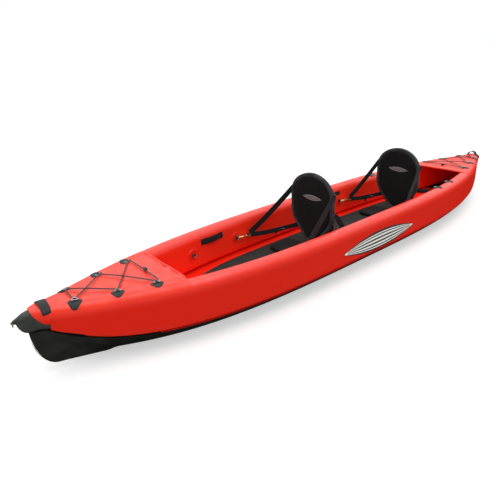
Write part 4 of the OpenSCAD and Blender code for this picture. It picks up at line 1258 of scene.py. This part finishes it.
backPad = makeBackPad()
print("backrest padded:", len(backPad.data.vertices), "points")
basePad = makeBasePad()
print("seat base padded:", len(basePad.data.vertices), "points")


def flattenBack(piece):      # keeps a padded backrest within its frame's depth, and presses its rim flat
    for v in piece.data.vertices:
        half = max(backHalf(v.co.z), 0.004)
        near = min(1 - abs(v.co.y) / half, v.co.z / 0.10 + 0.15, (backShape["high"] - v.co.z) / 0.12 + 0.1)
        rim = math.exp(-((near - 0.09) / 0.035) ** 2)
        v.co.x *= 1 - 0.22 * rim
        v.co.x = max(min(v.co.x, 0.0155), -0.0148)
    return piece


def quilted(piece):      # a sewn channel along the base and round its rim
    long, wide = baseShape["long"], baseShape["wide"]
    for v in piece.data.vertices:
        if v.co.z > baseShape["thick"] / 2:
            edge = min(v.co.x, long - v.co.x, wide / 2 - abs(v.co.y))
            v.co.z -= 0.0022 * math.exp(-((edge - 0.022) / 0.0035) ** 2)
            for line in (-0.063, 0.063):
                v.co.z -= 0.0020 * math.exp(-((v.co.y - line) / 0.004) ** 2) * ease((edge - 0.02) / 0.01)
        v.co.z = min(max(v.co.z, 0.0002), baseShape["thick"] + 0.001)
    return piece


flattenBack(backPad)
quilted(basePad)
applied(backPad, "SUBSURF", levels=1, render_levels=1)
applied(basePad, "SUBSURF", levels=1, render_levels=1)


def makeBinding():      # the tape sewn over the rim of a backrest
    rim = []
    zs = [backShape["high"] * t for t in (0.04, 0.10, 0.18, 0.28, 0.40, 0.52, 0.62, 0.70)]
    top = backShape["high"] - backShape["arc"]
    for z in zs:
        if z < top:
            rim.append(Vector((0, backHalf(z), z)))
    for a in range(0, 91, 10):
        z = top + backShape["arc"] * math.sin(math.radians(a))
        rim.append(Vector((0, backHalf(z), z)))
    rim += [Vector((0, -p.y, p.z)) for p in reversed(rim[:-1])]
    line = curveThrough(rim, 120)
    n = len(line) - 1

    def place(u, v):
        i = round(v * n)
        d = (line[min(i + 1, n)] - line[max(i - 1, 0)]).normalized()
        out = Vector((0, d.z, -d.y)).normalized()
        if out.z < 0 and line[i].z > 0.4 or out.y * line[i].y < 0 and line[i].z <= 0.4:
            out = -out
        t = 2 * u - 1
        deep = backShape["band"]
        if abs(t) > 0.5:
            inward = (abs(t) - 0.5) * 2 * deep
            x = math.copysign(0.0125 + 0.0012 * (1 - abs(t)) * 2 - 0.002 * (abs(t) > 0.97), t)
            return line[i] - out * (inward - 0.001) + Vector((x, 0, 0))
        a = t * math.pi
        return line[i] + out * (0.0015 * math.cos(a) + 0.0005) + Vector((0.0137 * math.sin(a), 0, 0))

    return shapedGrid(20, n, place)


bagShape = {"half": 0.113, "deep": 0.110, "z": 0.046}


def makeBag():      # a sagging pouch behind the backrest, closed by a flap
    x1, z, deep = -backShape["thick"] / 2 - 0.0003, bagShape["z"], bagShape["deep"]
    outline = [(x1, z + 0.01), (x1, z + 0.10), (x1, z + 0.19), (x1 - 0.002, z + 0.244), (x1 - 0.016, z + 0.247),
               (x1 - 0.034, z + 0.232), (x1 - 0.058, z + 0.165), (x1 - deep + 0.016, z + 0.085),
               (x1 - deep + 0.003, z + 0.040),
               (x1 - deep + 0.006, z + 0.012), (x1 - deep + 0.03, z + 0.002), (x1 - 0.02, z + 0.001)]
    loop = curveThrough([Vector((x, 0, h)) for x, h in outline], 72, loop=True)
    middle = sum(loop, Vector()) / len(loop)

    def place(u, v):
        p = loop[round(u * 72) % 72]
        t = abs(2 * v - 1)
        size = (1 - t ** 5) ** 0.45 if t < 1 else 0.0
        q = middle + (p - middle) * (0.12 + 0.88 * size)
        q.x = min(q.x, x1)
        sag = 0.004 * noise.noise(Vector((p.x * 22, v * 5, p.z * 14))) * size
        drape = 0.003 * math.sin(v * 19) * ease((middle.x - p.x) / 0.03) * (1 - t)
        y = bagShape["half"] * (2 * v - 1)
        q += (p - middle).normalized() * (sag + drape - 0.004)
        q.x = min(q.x, x1)
        q.y = y
        return q

    body = shapedGrid(72, 44, place, close=True)

    def flap(u, v):      # lies over the bag's slope
        i = 21 + v * 21
        k = int(i)
        p = loop[k].lerp(loop[min(k + 1, 71)], i - k)
        out = (p - middle).normalized()
        wide = bagShape["half"] * 0.86 * (1 - 0.10 * v ** 4)
        edge = 1 if 0.02 < u < 0.98 and v < 0.97 else 0
        bow = 0.003 * (1 - (2 * u - 1) ** 2)
        return Vector((0, wide * (2 * u - 1), 0)) + p + out * (0.0008 + 0.0022 * edge + bow)

    return joined([body, shapedGrid(30, 24, flap)])


bagBody = makeBag()
binding = makeBinding()


labelShape = {"side": 0.012, "half": 0.088, "z": 0.322, "high": 0.017, "face": 0.0158, "proud": 0.0004}


def makeMark():      # a woven lens label on the front of a backrest
    def place(u, v):
        a, b = 2 * u - 1, 2 * v - 1
        y = labelShape["side"] - labelShape["half"] * a
        z = labelShape["z"] + labelShape["high"] * b * (1 - a * a)
        x = labelShape["face"] + labelShape["proud"] * (abs(b) < 0.99)
        return Vector((x, y, z))
    return shapedGrid(36, 10, place, lambda u, v: (2 * u - 1, 2 * v - 1), merge=0.000005)


mark = makeMark()


def buckleAt(side):      # side-release buckle behind a backrest's edge: body, latch and two bars
    parts = []
    for size, place in (((0.0075, 0.050, 0.030), (0, 0, 0.010)), ((0.0060, 0.042, 0.020), (0, 0, -0.015)),
                        ((0.0100, 0.006, 0.030), (0, 0.021, 0.008)),
                        ((0.0100, 0.006, 0.030), (0, -0.021, 0.008)),
                        ((0.0085, 0.046, 0.004), (-0.001, 0, 0.0235)),
                        ((0.0085, 0.046, 0.004), (-0.001, 0, -0.0235))):
        block = softBlock(size, 0.0016, 3)
        block.data.transform(Matrix.Translation(Vector(place) + Vector((-0.0206, side * 0.160, 0.344))))
        parts.append(block)
    return parts


buckleParts = joined(buckleAt(1) + buckleAt(-1))

markX = max(0.0155, max(v.co.x for v in backPad.data.vertices if abs(v.co.y) < 0.09 and 0.30 < v.co.z < 0.36))
mark.data.transform(Matrix.Translation((markX - 0.0155, 0, 0)))

for label, (seatX, anchorX) in seatPlan.items():
    body = label + "_back"
    up = Matrix.Translation((seatX, 0, backShape["foot"]))
    pad = copyOf(backPad, up)
    settle(pad, label + "_backrest_pad", seatFabric, body, [label + "_backrest"], 60)
    settle(copyOf(binding, up), label + "_backrest_binding", bindingTape, body, [], 60)
    settle(copyOf(mark, up), label + "_backrest_label", seatMark, body, [], 60)
    settle(copyOf(bagBody, up), label + "_bag", seatFabric, body, [label + "_seat_bag"], 50)
    settle(copyOf(buckleParts, up), label + "_side_buckles", fittingPlastic, body,
           [label + "_buckles"], 40)
    baseX = seatX + backShape["thick"] / 2 + 0.014
    base = copyOf(basePad, Matrix.Translation((baseX, 0, hull["floor"] + matShape["thick"] + 0.0003)))
    settle(base, label + "_seat_pad", seatFabric, "hull", [label + "_seat_base"], 60)
for piece in (backPad, basePad, bagBody, binding, mark, buckleParts):
    bpy.data.objects.remove(piece, do_unlink=True)
print("seats made")

# "high" and "low" are where a strap leaves the backrest, above the floor
strapShape = {"wide": 0.045, "thick": 0.0024, "gap": 0.0003, "high": 0.392, "low": 0.128}
hookShape = {"long": 0.078, "tilt": 13, "bar": 0.0025, "ringZ": 0.221, "x": -0.0172}      # tilt in degrees


def ringPoint(ax, p):      # a place in an anchor ring's own frame, on the port side
    t, h = wallTurn(ax), p[2] + wallDisc["thick"] + wallDisc["stand"]
    return Vector((ax + p[0] * math.cos(t) - h * math.sin(t), innerWidth(ax) - wallGap(ax) - p[0]
                   * math.sin(t) - h * math.cos(t),
                   hookShape["ringZ"] + p[1]))


def hookEye(ax):
    tilt = math.radians(hookShape["tilt"])
    return ringPoint(ax, (hookShape["x"] - hookShape["long"] * math.cos(tilt), 0,
                          hookShape["long"] * math.sin(tilt)))


def hookSide(ax):
    tilt = math.radians(hookShape["tilt"])
    return (ringPoint(ax, (math.sin(tilt), 0, math.cos(tilt))) - ringPoint(ax, (0, 0, 0))).normalized()


def upperPath(x, ax):
    eye = hookEye(ax) + Vector((0, 0, hookShape["bar"] + strapShape["thick"] / 2 + 0.0015))
    z = hull["floor"] + strapShape["high"]
    top = Vector((x - 0.010, backHalf(z - backShape["foot"]) + 0.003, z))
    return [top, top + (eye - top) * 0.3 - Vector((0, 0, 0.004)),
            top + (eye - top) * 0.65 - Vector((0, 0, 0.005)),
            eye + Vector((-0.018, 0.001, 0.013)), eye]


def lowerPath(x, ax):
    eye = hookEye(ax) - Vector((0, 0, hookShape["bar"] + strapShape["thick"] / 2 + 0.0004))
    z = hull["floor"] + strapShape["low"]
    low = Vector((x - 0.006, backHalf(z - backShape["foot"]) + 0.004, z))
    return [low, low + (eye - low) * 0.3 - Vector((0, 0, 0.004)),
            low + (eye - low) * 0.65 - Vector((0, 0, 0.006)),
            eye + Vector((-0.020, 0.001, 0)), eye]


def adjusterOn(path):      # ladder buckle with a short tail, on the lower strap
    a, b = path[1], path[2]
    d = (b - a).normalized()
    place = a + (b - a) * 0.15
    parts = []
    across = Vector((0, 0, 1)).cross(d).normalized()
    turn = Matrix((d, across, d.cross(across).normalized())).transposed().to_4x4()
    for size, spot in (((0.022, 0.004, 0.0034), (0, 0.0245, 0)), ((0.022, 0.004, 0.0034), (0, -0.0245, 0)),
                       ((0.0040, 0.049, 0.0034), (-0.009, 0, 0)), ((0.0050, 0.049, 0.0034), (0, 0, 0)),
                       ((0.0040, 0.049, 0.0034), (0.009, 0, 0))):
        block = softBlock(size, 0.0008, 2)
        block.data.transform(Matrix.Translation(place) @ turn @ Matrix.Translation(Vector(spot)
                                                                                   + Vector((0, 0, 0.0036))))
        parts.append(block)
    tail = [place + turn.to_3x3() @ Vector((t, 0, h))
            for t, h in ((0.004, 0.0030), (0.016, 0.0062), (0.030, 0.006), (0.043, -0.001))]
    tail = [p + Vector((0, 0.004 * i, -0.007 * i * i * 0.6)) for i, p in enumerate(tail)]
    parts.append(bandAlong(tail, turn.to_3x3() @ Vector((0, 1, 0)), 0.025, 0.002, steps=6))
    return parts


for label, (seatX, anchorX) in seatPlan.items():
    body = label + "_back"
    for sideName, side in (("port", 1), ("starboard", -1)):
        sideways = hookSide(anchorX)
        upper, lower = upperPath(seatX, anchorX), lowerPath(seatX, anchorX)

        def twist(a, b):      # flat to the side of the hull, then turned to lie over the hook's bar
            d = (b - a).normalized()
            upright = Vector((0, 1, 0)).cross(d).normalized()
            if upright.dot(sideways) < 0:
                upright = -upright
            return lambda v: upright.lerp(sideways, ease((v - 0.72) / 0.25))

        strap = joined([bandAlong(upper, twist(upper[0], upper[-1]), strapShape["wide"], strapShape["thick"],
                                  steps=12),
                        bandAlong(lower, twist(lower[0], lower[-1]), strapShape["wide"] * 0.75,
                                  strapShape["thick"], steps=12)])
        buckle = joined(adjusterOn(lower))
        if side < 0:
            for piece in (strap, buckle):
                piece.data.transform(mirrorY)
                piece.data.flip_normals()
        end = hookEye(anchorX)
        name = label + "_" + sideName
        settle(strap, name + "_seat_strap", webbingCloth, None, [name + "_strap"], 60)
        settle(buckle, name + "_ladder_buckle", fittingPlastic, None,
               [label + "_adjusters"], 40)
        for piece in (strap, buckle):
            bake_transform(piece)


def backStart(x, z):
    bx, y = x - backShape["thick"] / 2 - strapShape["gap"] - strapShape["thick"] / 2, backShape["half"]
    return [Vector((bx, y - 0.062, z)), Vector((bx, y - 0.016, z)), Vector((bx - 0.009, y + 0.008, z))]


backEnds = {}
x = seatPlan["rear"][1]
z = 0.287
backEnds["front"] = backStart(seatPlan["front"][0], z + 0.090) + [
    Vector((x + d, innerWidth(x + d) - gap, z + lift))
    for d, gap, lift in ((0.090, 0.012, 0.006), (0.070, 0.004, 0.002), (0.050, 0.0024, 0), (-0.010, 0.0024, 0))]
x = -0.838
backEnds["rear"] = backStart(seatPlan["rear"][0], 0.305) + [Vector((x + 0.006, innerWidth(x) - 0.022,
                                                                    sheer(x) - 0.040))]
# the front seat's port one hangs slack, below the gunwale
slack = backStart(seatPlan["front"][0], 0.352) + [Vector(p) for p in (
    (0.150, 0.212, 0.285), (0.090, 0.243, 0.212), (-0.060, 0.262, 0.192),
    (-0.240, 0.272, 0.222))] + backEnds["front"][-3:]
for label, points in backEnds.items():
    wide, port = strapShape["wide"] * 0.7, slack if label == "front" else points
    one = bandAlong(port, (0, 0, 1), wide, strapShape["thick"], steps=8)
    two = bandAlong([mirrorY @ p for p in points], (0, 0, 1), wide, strapShape["thick"], steps=8)
    strap = joined([one, two])
    settle(strap, label + "_aft_straps", webbingCloth, None, [label + "_back_straps"], 60)
    seatX = seatPlan[label][0]
    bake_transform(strap)
print("straps made")


def dress(material, *names):      # gives CAD pieces that stay as they are their material
    for name in names:
        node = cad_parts[name]
        if not node.material_slots:
            node.data.materials.append(material)
        for place in node.material_slots:
            place.material = material


dress(ringSteel, "deck_rings", "gunwale_rings", "seat_anchor_rings", "port_foot_ring", "starboard_foot_ring")
dress(tipCoated, "bow_tip_ring", "stern_tip_ring")
dress(hookBrass, "seat_hooks", "front_port_gate", "front_starboard_gate", "rear_port_gate",
      "rear_starboard_gate")
for spot in ("floor", "port", "starboard"):
    dress(valvePlastic, spot + "_valve_body", spot + "_valve_cap")
    dress(plungerPlastic, spot + "_valve_plunger")
